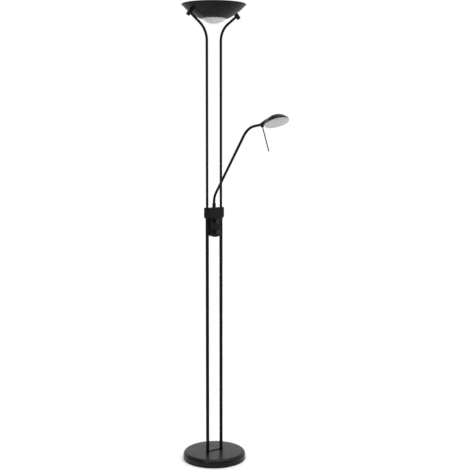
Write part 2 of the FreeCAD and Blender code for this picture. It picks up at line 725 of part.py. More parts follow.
# ---------------------------------------------------------------- head joint
def on_arm(shape):
    """Place a shape drawn with the pivot at the origin and the arm's end run along -Y."""
    return moved(shape, PIVOT, Rotation(Vector(1, 0, 0), -ARM_RISE))


def on_head(shape):
    """Place a shape drawn with the pivot at the origin and the head level along -Y."""
    return moved(shape, PIVOT, Rotation(Vector(1, 0, 0), -HEAD_TILT))


def cross_bar(x0, x1, r, y=0.0, z=0.0):
    return bar(Vector(x0, y, z), Vector(x1, y, z), r)


def arm_eye():
    """Plug in the arm's end with a flat eye for the pivot."""
    spigot = bar(Vector(0, EYE_TUBE_GAP + 14, 0), Vector(0, EYE_TUBE_GAP - 1, 0), ARM_R - ARM_T - GAP)
    cap = bar(Vector(0, EYE_TUBE_GAP, 0), Vector(0, EYE_R + 1, 0), ARM_R)
    web = box(-EYE_T / 2, EYE_T / 2, 0, EYE_R + 2, -4, 4)
    eye = cross_bar(-EYE_T / 2, EYE_T / 2, EYE_R)
    solid = fuse(spigot, cap, web, eye).cut(cross_bar(-10, 10, PIN_R + RUN))
    return on_arm(solid)


def head_knuckle():
    """Clevis about the eye, with a tongue for the neck and a block for the handle."""
    solid = box(-FORK_OUT, FORK_OUT, -NECK_START, 0, -EYE_R, EYE_R)
    solid = fuse(cross_bar(-FORK_OUT, FORK_OUT, EYE_R), solid,
                 box(-FORK_OUT, FORK_OUT, -3.2, 3.2, -ROD_SEAT - ROD_BLOCK_H, 0),
                 box(-4, 4, -NECK_START - TONGUE_L, -NECK_START + 1, -3.5, NECK_LOW))
    gap = fuse(cross_bar(-FORK_IN, FORK_IN, EYE_R + 0.8),
               box(-FORK_IN, FORK_IN, 0, 20, -EYE_R - 0.8, EYE_R + 5))
    solid = solid.cut(gap).cut(cross_bar(-10, 10, PIN_R + GAP))
    solid = solid.cut(bar(Vector(0, 0, -ROD_SEAT - 1.2), Vector(0, 0, -40), ROD_R + GAP))
    y = -NECK_START - TONGUE_L / 2
    return on_head(solid.cut(bar(Vector(0, y, -10), Vector(0, y, 10), 1.25 + GAP)))


def tilt_washers():
    ring = bar(Vector(EYE_T / 2 + 0.05, 0, 0), Vector(EYE_T / 2 + 0.05 + TILT_WASHER_T, 0, 0), EYE_R - 0.5)
    return both_sides(on_head(ring.cut(cross_bar(-10, 10, PIN_R + GAP))))


def pivot_screw():
    """Pivot pin with a slotted head on the -X side."""
    solid = fuse(cross_bar(-FORK_OUT - 1, FORK_OUT + 3.2, PIN_R), cross_bar(-FORK_OUT - 2, -FORK_OUT, 3.0))
    return on_head(solid.cut(box(-FORK_OUT - 3, -FORK_OUT - 1.2, -4, 4, -0.4, 0.4)))


def pivot_nut():
    nut = hexagon(6.5, 0, 2.6, PIN_R + GAP)
    return on_head(moved(nut, Vector(FORK_OUT, 0, 0), Rotation(Vector(0, 1, 0), 90)))


def handle_rod():
    """Thin rod that hangs square to the head and serves to aim it."""
    solid = bar(Vector(0, 0, -ROD_SEAT - 1.3), Vector(0, 0, -ROD_END), ROD_R)
    tip = [e for e in solid.Edges if abs(e.BoundBox.ZMax + ROD_END) < 1e-6]
    return on_head(solid.makeFillet(ROD_R * 0.6, tip))


# ---------------------------------------------------------------- reading head
def at_centre(shape):
    return moved(shape, Vector(0, -HEAD_REACH, 0))


def cap_outline(r, top, rim, skirt_top):
    """Closed outline of a skirt with a spherical cap on it."""
    h = top - skirt_top
    sphere = (r * r + h * h) / (2 * h)
    a = 0.5 * math.asin(r / sphere)
    mid = (sphere * math.sin(a), top - sphere + sphere * math.cos(a))
    return [(0, rim), (r, rim), (r, skirt_top), (0, top) + mid]


def neck_strap():
    """Flat neck from the knuckle to the crown, wider towards the crown."""
    end = HEAD_REACH
    side = [Vector(-30, -NECK_START, NECK_LOW), Vector(-30, -NECK_START, NECK_TOP),
            Vector(-30, -end, SHELL_TOP + 0.1), Vector(-30, -end, -12), Vector(-30, -end + 30, -12),
            Vector(-30, -NECK_START - TONGUE_L - 1, NECK_LOW)]
    slab = prism(side, Vector(60, 0, 0))
    w0 = NECK_W / 2
    w1 = NECK_W_END / 2
    plan = [Vector(-w0, -NECK_START, -20), Vector(w0, -NECK_START, -20),
            Vector(w1, -end, -20), Vector(-w1, -end, -20)]
    return slab.common(prism(plan, Vector(0, 0, 40)))


def head_shell():
    """Domed cover of the reading head, with its neck."""
    skirt = SHELL_RIM + SKIRT_H
    outer = at_centre(lathe(cap_outline(SHELL_R, SHELL_TOP, SHELL_RIM, skirt)))
    inner = at_centre(lathe(cap_outline(SHELL_R - HEAD_WALL, SHELL_TOP - HEAD_WALL, SHELL_RIM - 1, skirt)))
    solid = outer.fuse(neck_strap()).cut(inner)
    y = -NECK_START - TONGUE_L / 2
    return on_head(solid.cut(bar(Vector(0, y, -10), Vector(0, y, 4.5), 1.25 + GAP)).removeSplitter())


def neck_screw():
    """Screw from below that holds the neck on the knuckle's tongue."""
    y = -NECK_START - TONGUE_L / 2
    solid = fuse(bar(Vector(0, y, -3.5), Vector(0, y, 4.4), 1.25), bar(Vector(0, y, -5), Vector(0, y, -3.5), 2.4))
    return on_head(solid.cut(box(-3, 3, y - 0.35, y + 0.35, -6, -4.2)))


def head_lens():
    """Round lens that closes the head, with a spigot inside the skirt."""
    top = SHELL_RIM
    low = top - LENS_T
    solid = lathe([(0, low), (LENS_R - 1.2, low), (LENS_R, low + 1.2), (LENS_R, top),
                   (LENS_SPIGOT_R, top), (LENS_SPIGOT_R, top + 3), (LENS_SPIGOT_R - 2, top + 3),
                   (LENS_SPIGOT_R - 2, top - 0.5), (0, top - 0.5)])
    return on_head(at_centre(solid))


def lens_clips():
    """Three spring clips between the lens spigot and the skirt."""
    ring = pipe(SHELL_R - HEAD_WALL - GAP, LENS_SPIGOT_R + GAP, SHELL_RIM + 0.3, SHELL_RIM + 2.9)
    out = []
    for i in range(3):
        key = moved(box(0, 60, -4, 4, SHELL_RIM - 5, SHELL_RIM + 10), rot=Rotation(Vector(0, 0, 1), 90 + 120 * i))
        out.append(on_head(at_centre(ring.common(key))))
    return Part.makeCompound(out)


def capsule_holder():
    """Ceramic holder under the crown for the small lamp."""
    top = SHELL_TOP - HEAD_WALL - 1.2
    room = lathe(cap_outline(SHELL_R - HEAD_WALL - GAP, SHELL_TOP - HEAD_WALL - GAP, SHELL_RIM,
                             SHELL_RIM + SKIRT_H))
    solid = fuse(cyl(8.5, top - 8, SHELL_TOP).common(room), cyl(6.0, top - 11, top - 7))
    return on_head(at_centre(solid.cut(cyl(1.0, top - 12, top - 6, 2.5)).cut(cyl(1.0, top - 12, top - 6, -2.5))))


def capsule_lamp():
    top = SHELL_TOP - HEAD_WALL - 12.4
    r = 4.8
    k = r * math.sqrt(0.5)
    bulb = lathe([(0, top), (3.2, top), (3.2, top - 3), (r, top - 4.5), (r, top - 8.5),
                  (0, top - 8.5 - r, k, top - 8.5 - k)])
    pins = [cyl(0.5, top - 1, top + 5, 2.5), cyl(0.5, top - 1, top + 5, -2.5)]
    return on_head(at_centre(fuse(bulb, *pins)))


def head_reflector():
    """Spun dish round the small lamp."""
    top = SHELL_TOP - HEAD_WALL - 9.2
    t = 0.8
    mid = DISH_R - 12
    solid = lathe([(6.4, top), (9, top), (DISH_R, SHELL_RIM + 4.6, mid, top - 4), (DISH_R, SHELL_RIM + 3.6),
                   (9, top - t, mid - 0.3, top - 4 - t), (6.4, top - t)])
    return on_head(at_centre(solid))


# ---------------------------------------------------------------- uplighter
def bowl():
    """Shallow dish with a rolled rim and a flat lip that the glass hangs from."""
    centre, radius = bowl_arc()

    def on_arc(r_arc, r):
        return (r, centre.z - math.sqrt(r_arc ** 2 - (r - centre.x) ** 2))

    inner = radius - BOWL_T
    rim = BOWL_R - BEAD_R
    mid = (LIP_OUT_R + rim) / 2
    inner_lip = centre.x + math.sqrt(inner ** 2 - (centre.z - LIP_TOP) ** 2)
    shell = lathe([(LIP_R, BOWL_LOW), (LIP_OUT_R, BOWL_LOW), on_arc(radius, rim) + on_arc(radius, mid),
                   on_arc(inner, rim - BOWL_T), (inner_lip, LIP_TOP) + on_arc(inner, mid),
                   (LIP_R, LIP_TOP)])
    bead = Part.makeTorus(rim, BEAD_R, Vector(0, 0, LAMP_H - BEAD_R), Vector(0, 0, 1))
    shell = shell.fuse(bead)
    foot, down = barrel_axis()
    return shell.cut(both_sides(bar(foot - down * 6, foot + down * 3, BARREL_NIPPLE_R + GAP)))


def opal_glass():
    """Opal glass dome that hangs through the bowl's opening on its flange."""
    tip = BOWL_LOW - GLASS_DROP
    edge = BOWL_LOW - 2.0
    h = edge - tip
    sphere = (GLASS_R ** 2 + h ** 2) / (2 * h)
    zc = tip + sphere

    def on_sphere(s, r):
        return (r, zc - math.sqrt(s * s - r * r))

    inner = sphere - GLASS_T
    r_in = GLASS_R - GLASS_T
    top = FLANGE_Z + GLASS_FLANGE_T
    return lathe([(0, tip), (GLASS_R, edge) + on_sphere(sphere, GLASS_R * 0.6), (GLASS_R, FLANGE_Z),
                  (GLASS_FLANGE_R, FLANGE_Z), (GLASS_FLANGE_R, top), (r_in, top), on_sphere(inner, r_in),
                  (0, tip + GLASS_T) + on_sphere(inner, r_in * 0.55)])


def stud_places():
    return [(STUD_PCR * math.cos(math.radians(a)), STUD_PCR * math.sin(math.radians(a))) for a in (0, 90, 180, 270)]


def ring_studs():
    return Part.makeCompound([cyl(STUD_R, LIP_TOP, LIP_TOP + STUD_H, x, y) for x, y in stud_places()])


def glass_ring():
    """Flat ring that holds the glass flange down on the lip."""
    ring = pipe(RING_R, RING_BORE_R, RING_Z, RING_Z + RING_T)
    for x, y in stud_places():
        ring = ring.cut(cyl(STUD_R + 0.1, RING_Z - 1, RING_Z + 5, x, y))
    return ring


def ring_nuts():
    """Nut on each stud; the two on the X axis also hold the lamp carrier."""
    out = []
    for i, (x, y) in enumerate(stud_places()):
        z = PLATE_TOP if i % 2 == 0 else CARRIER_Z
        out.append(hexagon(STUD_NUT_AF, z, z + STUD_NUT_T, STUD_R + GAP, x, y))
    return Part.makeCompound(out)


def lamp_carrier():
    """Strip across the opening, with an upright and a pane rest at each end."""
    half = CARRIER_W / 2
    end = STUD_PCR + 4
    plate = box(-end, end, -half, half, CARRIER_Z, PLATE_TOP)
    for x in (-STUD_PCR, STUD_PCR):
        plate = plate.cut(cyl(STUD_R + 0.1, CARRIER_Z - 1, PLATE_TOP + 1, x))
    upright = box(UPRIGHT_X, UPRIGHT_X + CARRIER_T, -half, half, PLATE_TOP - 1, UPRIGHT_TOP)
    upright = upright.cut(box(UPRIGHT_X - 1, UPRIGHT_X + 3, -4, 4, PLATE_TOP, PLATE_TOP + 9))
    tab = box(UPRIGHT_X, UPRIGHT_X + TAB_L, -half, half, UPRIGHT_TOP - CARRIER_T, UPRIGHT_TOP)
    solid = fuse(plate, upright, mirrored_x(upright), tab, mirrored_x(tab))
    holes = cross_bar(UPRIGHT_X - 1, UPRIGHT_X + 3, 1.6, 0, LAMP_Z)
    return solid.cut(both_sides(holes))


def lamp_holders():
    """Ceramic end holders of the tubular lamp."""
    inner = UPRIGHT_X - HOLDER_L
    solid = box(inner, UPRIGHT_X, -HOLDER_W / 2, HOLDER_W / 2, LAMP_Z - HOLDER_H / 2, LAMP_Z + HOLDER_H / 2)
    long_edges = [e for e in solid.Edges if abs(e.tangentAt(e.FirstParameter).x) > 0.9]
    solid = solid.makeFillet(2.0, long_edges)
    solid = solid.cut(cross_bar(inner - 1, inner + HOLDER_RECESS, LAMP_CAP_R + 0.3, 0, LAMP_Z))
    return both_sides(solid.cut(cross_bar(UPRIGHT_X - 4, UPRIGHT_X + 1, 1.5 + GAP, 0, LAMP_Z)))


def holder_screws():
    solid = fuse(cross_bar(UPRIGHT_X - 3.8, UPRIGHT_X + 2, 1.5, 0, LAMP_Z),
                 cross_bar(UPRIGHT_X + CARRIER_T, UPRIGHT_X + CARRIER_T + 1.8, 2.8, 0, LAMP_Z))
    slot = box(UPRIGHT_X + CARRIER_T + 1, UPRIGHT_X + 10, -0.4, 0.4, LAMP_Z - 4, LAMP_Z + 4)
    return both_sides(solid.cut(slot))


def halogen_lamp():
    """Tubular lamp: quartz tube, pinched ends and round end caps."""
    end = UPRIGHT_X - HOLDER_L + HOLDER_RECESS - 0.3
    tube = cross_bar(-LAMP_HALF, LAMP_HALF, LAMP_R, 0, LAMP_Z)
    ends = [e for e in tube.Edges if e.BoundBox.XLength < 1e-6]
    tube = tube.makeFillet(2.5, ends)
    pinch = box(-LAMP_HALF - 2, LAMP_HALF + 2, -3, 3, LAMP_Z - 1.5, LAMP_Z + 1.5)
    caps = [cross_bar(s * (LAMP_HALF + 1), s * end, LAMP_CAP_R, 0, LAMP_Z) for s in (-1, 1)]
    return fuse(tube, pinch, *caps)


def reflector():
    """Trough-shaped reflector that lies on the carrier under the lamp."""
    z = PLATE_TOP
    t = TROUGH_T
    run = TROUGH_OUT - TROUGH_FLAT
    nx = t * TROUGH_RISE / math.hypot(run, TROUGH_RISE)
    low = [(-TROUGH_OUT, z + TROUGH_RISE), (-TROUGH_FLAT, z), (TROUGH_FLAT, z), (TROUGH_OUT, z + TROUGH_RISE)]
    high = [(TROUGH_OUT - nx, z + TROUGH_RISE + t), (TROUGH_FLAT - nx / 2, z + t),
            (-TROUGH_FLAT + nx / 2, z + t), (-TROUGH_OUT + nx, z + TROUGH_RISE + t)]
    pts = [Vector(-TROUGH_HALF, y, zz) for y, zz in low + high]
    return prism(pts, Vector(2 * TROUGH_HALF, 0, 0))


def safety_pane():
    """Flat toughened pane above the lamp, on the carrier's rests."""
    pane = box(-PANE_X, PANE_X, -PANE_Y, PANE_Y, UPRIGHT_TOP, UPRIGHT_TOP + PANE_T)
    corners = [e for e in pane.Edges if abs(e.tangentAt(e.FirstParameter).z) > 0.9]
    return pane.makeFillet(4.0, corners)


def pane_clips():
    """Spring clips that grip the pane and the rest below it."""
    top = UPRIGHT_TOP + PANE_T
    low = UPRIGHT_TOP - CARRIER_T
    t = 0.6
    out = fuse(box(PANE_X - 5, PANE_X + 1 + t, -5, 5, top, top + t),
               box(PANE_X + 1, PANE_X + 1 + t, -5, 5, low - t, top + t),
               box(PANE_X - 3, PANE_X + 1 + t, -5, 5, low - t, low))
    return both_sides(out)


def build():
    os.makedirs("parts", exist_ok=True)
    save("base_pad", base_pad())
    save("base_weight", base_weight())
    save("base_cover", base_cover())
    save("inlet_grommet", inlet_grommet())
    save("foot_bridge", foot_bridge())
    save("pole_nipples", pole_nipples())
    save("base_washers", base_washers())
    save("base_nuts", base_nuts())
    save("lower_pole_right", lower_pole())
    save("lower_pole_left", mirrored_x(lower_pole()))
    save("pole_connectors", pole_connectors())
    save("upper_pole_right", upper_pole())
    save("upper_pole_left", mirrored_x(upper_pole()))
    save("barrel_right", drilled_barrel())
    save("barrel_left", mirrored_x(drilled_barrel()))
    save("barrel_nipples", barrel_nipples())
    save("barrel_nuts", barrel_nuts())
    save("barrel_grub_screws", barrel_grub_screws())
    save("housing_front_shell", housing_front_shell())
    save("housing_rear_shell", housing_rear_shell())
    save("housing_screws", housing_screws())
    save("dimmer_modules", dimmer_modules())
    save("dimmer_nuts", dimmer_nuts())
    for name, z in zip(("upper", "lower"), KNOB_Z):
        save("dimmer_shaft_" + name, dimmer_shaft(z))
        save("dimmer_knob_" + name, dimmer_knob(z))
    save("terminal_block", terminal_block())
    save("terminal_screws", terminal_screws())
    save("swivel_bush", swivel_bush())
    save("arm_tube", arm_tube())
    save("arm_collar", arm_collar())
    save("collar_grub_screw", collar_grub_screw())
    save("swivel_washer", swivel_washer())
    save("swivel_nut", swivel_nut())
    save("arm_eye", arm_eye())
    save("head_knuckle", head_knuckle())
    save("tilt_washers", tilt_washers())
    save("pivot_screw", pivot_screw())
    save("pivot_nut", pivot_nut())
    save("handle_rod", handle_rod())
    save("head_shell", head_shell())
    save("neck_screw", neck_screw())
    save("head_lens", head_lens())
    save("lens_clips", lens_clips())
    save("capsule_holder", capsule_holder())
    save("capsule_lamp", capsule_lamp())
    save("head_reflector", head_reflector())
    save("bowl", bowl())
    save("opal_glass", opal_glass())
    save("ring_studs", ring_studs())
    save("glass_ring", glass_ring())
    save("ring_nuts", ring_nuts())
    save("lamp_carrier", lamp_carrier())
    save("lamp_holders", lamp_holders())
    save("holder_screws", holder_screws())
    save("halogen_lamp", halogen_lamp())
    save("reflector", reflector())
    save("safety_pane", safety_pane())
    save("pane_clips", pane_clips())


build()
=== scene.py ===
# %% [markdown]
# # A torchiere floor lamp with a reading arm
# Two tubes stand on a heavy round base, pass through a dimmer housing and carry a wide,
# shallow bowl that throws its light at the ceiling. A bent arm with a small tilting head
# gives light to read by.
#
# The sizes come from a CAD model, which is loaded first and never moved. Everything below
# either gives a CAD piece a better finish or builds a finer piece in the same place.

# %% Load the CAD frame
import bpy
import bmesh
import json
import math
from mathutils import Matrix, Vector

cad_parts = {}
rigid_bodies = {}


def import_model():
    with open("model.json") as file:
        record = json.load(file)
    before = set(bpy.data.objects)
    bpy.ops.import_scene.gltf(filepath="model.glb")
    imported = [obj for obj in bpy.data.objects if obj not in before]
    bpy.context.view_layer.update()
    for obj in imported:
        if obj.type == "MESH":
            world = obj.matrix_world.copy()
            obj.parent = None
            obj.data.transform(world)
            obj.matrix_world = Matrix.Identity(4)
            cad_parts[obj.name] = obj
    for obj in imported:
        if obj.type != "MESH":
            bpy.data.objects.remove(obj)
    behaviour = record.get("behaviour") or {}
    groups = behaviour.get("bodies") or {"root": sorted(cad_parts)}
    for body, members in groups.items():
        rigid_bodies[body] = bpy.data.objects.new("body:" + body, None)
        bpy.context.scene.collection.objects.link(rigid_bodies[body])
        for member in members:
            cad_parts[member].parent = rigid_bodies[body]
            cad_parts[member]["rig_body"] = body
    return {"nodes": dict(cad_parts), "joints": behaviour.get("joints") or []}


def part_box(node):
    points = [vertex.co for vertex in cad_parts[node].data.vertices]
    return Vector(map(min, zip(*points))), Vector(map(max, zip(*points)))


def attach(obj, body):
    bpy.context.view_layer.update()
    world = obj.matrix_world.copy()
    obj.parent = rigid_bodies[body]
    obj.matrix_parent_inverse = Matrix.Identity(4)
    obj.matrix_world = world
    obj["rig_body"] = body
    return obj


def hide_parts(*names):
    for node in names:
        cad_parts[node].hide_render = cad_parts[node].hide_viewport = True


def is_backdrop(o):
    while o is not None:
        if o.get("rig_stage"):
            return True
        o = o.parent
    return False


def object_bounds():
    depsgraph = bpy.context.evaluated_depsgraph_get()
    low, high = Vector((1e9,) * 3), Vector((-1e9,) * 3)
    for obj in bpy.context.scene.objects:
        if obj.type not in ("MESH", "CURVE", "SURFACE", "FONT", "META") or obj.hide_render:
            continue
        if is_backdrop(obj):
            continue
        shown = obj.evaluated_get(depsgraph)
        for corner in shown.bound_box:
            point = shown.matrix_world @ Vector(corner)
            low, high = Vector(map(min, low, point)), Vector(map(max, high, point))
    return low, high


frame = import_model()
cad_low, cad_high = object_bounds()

mm = 0.001
rides_on = {name: cad_piece["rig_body"] for name, cad_piece in frame["nodes"].items()}
joints = {joint["name"]: joint for joint in frame["joints"]}
print("CAD box, mm:", [round(v / mm, 1) for v in cad_low], [round(v / mm, 1) for v in cad_high])

# %% [markdown]
# ## The camera
# A long lens, far away, at about two thirds of the lamp's height and a little to the left
# of its front, looking slightly down. The aim is worked out as three turns: round the
# upright axis, down, and a trace of roll.

# %% Camera
seen_from = Vector((-2.1205, -3.0284, 1.316))       # metres
turn, down, roll = 36.278, 6.302, 0.062             # degrees
camera = bpy.data.objects.new("lamp_camera", bpy.data.cameras.new("lamp_camera"))
bpy.context.scene.collection.objects.link(camera)
camera.data.lens = 72.15
camera.data.sensor_width = 36
camera.data.clip_start, camera.data.clip_end = 0.05, 60
camera.matrix_world = (Matrix.Translation(seen_from)
                       @ Matrix.Rotation(math.radians(-turn), 4, "Z")
                       @ Matrix.Rotation(math.radians(90 - down), 4, "X")
                       @ Matrix.Rotation(math.radians(roll), 4, "Z"))
bpy.context.scene.camera = camera
print("camera at", [round(v, 3) for v in seen_from], "lens", camera.data.lens)

# %% [markdown]
# ## Floor and studio light
# Black paint shows almost nothing but what it mirrors, so the light matters as much as the
# paint. The surround is bright behind the lamp and dim in front of it, two tall soft boxes
# draw the pale lines down the tubes, and a broad sun overhead lights the floor. Where the
# camera looks straight at the surround, it stays white.

# %% Floor and lights
def soft_box(name, at, look_at, wide, tall, power):
    """Large area light at a point, facing another point."""
    lamp = bpy.data.lights.new(name, "AREA")
    lamp.shape = "RECTANGLE"
    lamp.size, lamp.size_y, lamp.energy = wide, tall, power
    holder = bpy.data.objects.new(name, lamp)
    bpy.context.scene.collection.objects.link(holder)
    aim = (Vector(look_at) - Vector(at)).to_track_quat("-Z", "Y")
    holder.matrix_world = Matrix.Translation(at) @ aim.to_matrix().to_4x4()
    return holder


lit_point = (0, 0, 1.1)
soft_box("left_box", (-3.2, -1.6, 1.9), lit_point, 0.9, 2.6, 20)
soft_box("right_box", (2.6, -2.4, 1.7), lit_point, 0.8, 2.6, 17)
sky = bpy.data.lights.new("ceiling_glow", "SUN")
sky.energy, sky.angle = 2.2, math.radians(70)
ceiling = bpy.data.objects.new("ceiling_glow", sky)
bpy.context.scene.collection.objects.link(ceiling)
ceiling.matrix_world = Matrix.Translation((0, 0, 4)) @ Matrix.Rotation(math.radians(12), 4, "X")
world = bpy.data.worlds.new("studio")
world.use_nodes = True
sky_tree = world.node_tree
backdrop = sky_tree.nodes["Background"]
backdrop.inputs["Color"].default_value = (1, 1, 1, 1)
way = sky_tree.nodes.new("ShaderNodeTexCoord")
behind = sky_tree.nodes.new("ShaderNodeVectorMath")
behind.operation = "DOT_PRODUCT"
away_from_camera = (0.57, 0.82, 0)
behind.inputs[1].default_value = away_from_camera
fade = sky_tree.nodes.new("ShaderNodeMapRange")
front_level, back_level = 0.22, 1.0
fade_range = {"From Min": -0.1, "From Max": 0.75, "To Min": front_level, "To Max": back_level}
for socket, value in fade_range.items():
    fade.inputs[socket].default_value = value
ray_kind = sky_tree.nodes.new("ShaderNodeLightPath")
brighter = sky_tree.nodes.new("ShaderNodeMath")
brighter.operation = "MAXIMUM"
sky_tree.links.new(way.outputs["Generated"], behind.inputs[0])
sky_tree.links.new(behind.outputs["Value"], fade.inputs["Value"])
sky_tree.links.new(fade.outputs["Result"], brighter.inputs[0])
sky_tree.links.new(ray_kind.outputs["Is Camera Ray"], brighter.inputs[1])
sky_tree.links.new(brighter.outputs["Value"], backdrop.inputs["Strength"])
bpy.context.scene.world = world
bpy.context.scene.view_settings.view_transform = "Standard"

# %% [markdown]
# ## How a finish is made
# Every finish starts from the same shader. A pattern on Object coordinates, whose grain is
# given in millimetres, then steers three things: the colour, the polish and a fine relief.
# Small helpers keep each finish down to a few readable lines.

# %% Finish helpers
def finish(name, **shader):
    """New material; the keywords set shader sockets, with _ for a space."""
    look = bpy.data.materials.new(name)
    look.use_nodes = True
    for socket, value in shader.items():
        look.node_tree.nodes["Principled BSDF"].inputs[socket.replace("_", " ")].default_value = value
    return look


def pattern(look, kind, grain, stretch=(1, 1, 1), **values):
    """Texture on Object coordinates with features about grain millimetres wide."""
    tree = look.node_tree
    place = tree.nodes.new("ShaderNodeTexCoord")
    spread = tree.nodes.new("ShaderNodeMapping")
    spread.inputs["Scale"].default_value = stretch
    texture = tree.nodes.new("ShaderNodeTex" + kind)
    texture.inputs["Scale"].default_value = 1000 / grain
    for socket, value in values.items():
        texture.inputs[socket].default_value = value
    tree.links.new(place.outputs["Object"], spread.inputs["Vector"])
    tree.links.new(spread.outputs["Vector"], texture.inputs["Vector"])
    return texture.outputs["Distance" if kind == "Voronoi" else 0]


def colour_by(look, source, low, high, start=0.3, end=0.7):
    """Shade the base colour between two greys or colours by a pattern."""
    tree = look.node_tree
    ramp = tree.nodes.new("ShaderNodeValToRGB")
    ramp.color_ramp.elements[0].position, ramp.color_ramp.elements[1].position = start, end
    for element, colour in zip(ramp.color_ramp.elements, (low, high)):
        element.color = (*(colour if isinstance(colour, tuple) else (colour,) * 3), 1)
    tree.links.new(source, ramp.inputs["Fac"])
    tree.links.new(ramp.outputs["Color"], tree.nodes["Principled BSDF"].inputs["Base Color"])


def polish_by(look, source, low, high):
    """Vary the roughness between two values by a pattern."""
    tree = look.node_tree
    span = tree.nodes.new("ShaderNodeMapRange")
    span.inputs["From Min"].default_value, span.inputs["From Max"].default_value = 0.3, 0.7
    span.inputs["To Min"].default_value, span.inputs["To Max"].default_value = low, high
    tree.links.new(source, span.inputs["Value"])
    tree.links.new(span.outputs["Result"], tree.nodes["Principled BSDF"].inputs["Roughness"])


def relief_by(look, source, height):
    """Fine relief, height in millimetres, from a pattern."""
    tree = look.node_tree
    bump = tree.nodes.new("ShaderNodeBump")
    bump.inputs["Distance"].default_value = height * mm
    tree.links.new(source, bump.inputs["Height"])
    tree.links.new(bump.outputs["Normal"], tree.nodes["Principled BSDF"].inputs["Normal"])


looks = {}

# %% [markdown]
# ## Black paints
# Powder coat is never quite flat: the powder melts into a faint orange peel about a
# millimetre across, and its polish drifts over a few centimetres. One maker's rule with
# different numbers gives the base, the bowl, the head and the fittings their own blacks.

# %% Powder coats
def powder_coat(slot, dark, light, rough, peel, height, gloss=0.2):
    """Baked paint with an orange peel about peel millimetres wide."""
    look = finish(slot, Specular_IOR_Level=gloss)
    colour_by(look, pattern(look, "Noise", 60, Detail=4.0), dark, light)
    polish_by(look, pattern(look, "Noise", 35, Detail=3.0), rough - 0.04, rough + 0.05)
    relief_by(look, pattern(look, "Noise", peel, Detail=1.5, Roughness=0.4), height)
    looks[slot] = look


powder_coat("black_paint", 0.0050, 0.0080, 0.30, 1.6, 0.012, gloss=0.17)
powder_coat("black_paint_gloss", 0.0045, 0.0075, 0.24, 2.0, 0.010, gloss=0.17)
powder_coat("bowl_paint", 0.0055, 0.009, 0.38, 1.2, 0.014, gloss=0.09)
powder_coat("head_paint", 0.006, 0.010, 0.24, 1.2, 0.005, gloss=0.10)
powder_coat("black_fitting", 0.006, 0.009, 0.34, 0.9, 0.004, gloss=0.12)

# %% [markdown]
# ## Lacquered tube
# Drawn steel tube keeps very fine marks along its length under the lacquer. Stretching the
# pattern along Z turns round grains into such lines.

# %% Tube and rod lacquer
def lacquer(slot, dark, light, rough, along, gloss=0.07):
    """Thin paint over drawn metal, its patterns stretched by the scale in along."""
    look = finish(slot, Specular_IOR_Level=gloss)
    lines = pattern(look, "Noise", 1.2, stretch=along, Detail=3.0)
    colour_by(look, pattern(look, "Noise", 40, stretch=along, Detail=3.0), dark, light)
    polish_by(look, pattern(look, "Noise", 25, Detail=2.0), rough - 0.04, rough + 0.05)
    relief_by(look, lines, 0.0015)
    looks[slot] = look


lacquer("black_tube", 0.008, 0.013, 0.27, (1, 1, 0.03), gloss=0.03)
lacquer("grey_rod", 0.012, 0.020, 0.28, (1, 0.6, 0.08), gloss=0.06)

# %% [markdown]
# ## Moulded plastics
# A mould that was spark-eroded leaves a fine, dry grain. Knobs are handled, so theirs is
# smoother. Rubber, felt and ceramic use the same helper, each with its own relief.

# %% Plastics, felt and rubber
def moulded(slot, dark, light, rough, grain, height, **more):
    """Moulded surface with a fine skin of cells; more sets shader sockets."""
    look = finish(slot, **more)
    colour_by(look, pattern(look, "Noise", 25, Detail=5.0), dark, light)
    polish_by(look, pattern(look, "Noise", 9, Detail=4.0), rough - 0.05, rough + 0.06)
    relief_by(look, pattern(look, "Voronoi", grain), height)
    looks[slot] = look


moulded("black_plastic", 0.0045, 0.0072, 0.36, 0.45, 0.010, Specular_IOR_Level=0.11)
moulded("knob_plastic", 0.0075, 0.012, 0.40, 0.6, 0.005, Specular_IOR_Level=0.24)
moulded("grey_plastic", 0.16, 0.21, 0.45, 0.5, 0.010)
moulded("pale_plastic", 0.62, 0.70, 0.40, 0.5, 0.008)
moulded("bush_plastic", 0.012, 0.018, 0.48, 0.4, 0.008)
moulded("black_rubber", 0.010, 0.016, 0.62, 0.5, 0.020)
moulded("felt_pad", 0.006, 0.022, 0.95, 0.7, 0.150, Sheen_Weight=0.3, Sheen_Roughness=0.6)
moulded("ceramic", 0.70, 0.78, 0.55, 0.35, 0.010)

# %% [markdown]
# ## Metals
# Plated screws are cloudy rather than mirror bright, spun aluminium shows fine turning
# lines, and cast iron is pitted. The metal itself is one shader value; the patterns do the
# rest.

# %% Metals
def metal(slot, dark, light, rough, grain, height, stretch=(1, 1, 1), metallic=1.0):
    """Bare or plated metal, cloudy or marked by the tool that turned it."""
    look = finish(slot, Metallic=metallic)
    colour_by(look, pattern(look, "Noise", 6, Detail=5.0), dark, light)
    polish_by(look, pattern(look, "Noise", 3, stretch=stretch, Detail=5.0), rough - 0.07, rough + 0.08)
    relief_by(look, pattern(look, "Noise", grain, stretch=stretch, Detail=6.0), height)
    looks[slot] = look


metal("zinc_steel", (0.50, 0.49, 0.46), (0.66, 0.65, 0.60), 0.32, 0.5, 0.004)
metal("dark_steel", (0.045, 0.045, 0.048), (0.085, 0.083, 0.08), 0.36, 0.4, 0.005)
metal("brass_shaft", (0.62, 0.44, 0.19), (0.74, 0.55, 0.27), 0.28, 0.4, 0.003)
metal("bright_aluminium", (0.78, 0.78, 0.79), (0.88, 0.88, 0.89), 0.20, 0.35, 0.004, stretch=(0.15, 1, 1))
metal("iron", (0.035, 0.034, 0.034), (0.085, 0.08, 0.078), 0.62, 1.8, 0.250, metallic=0.7)
powder_coat("white_steel", 0.70, 0.78, 0.34, 1.3, 0.012, gloss=0.5)

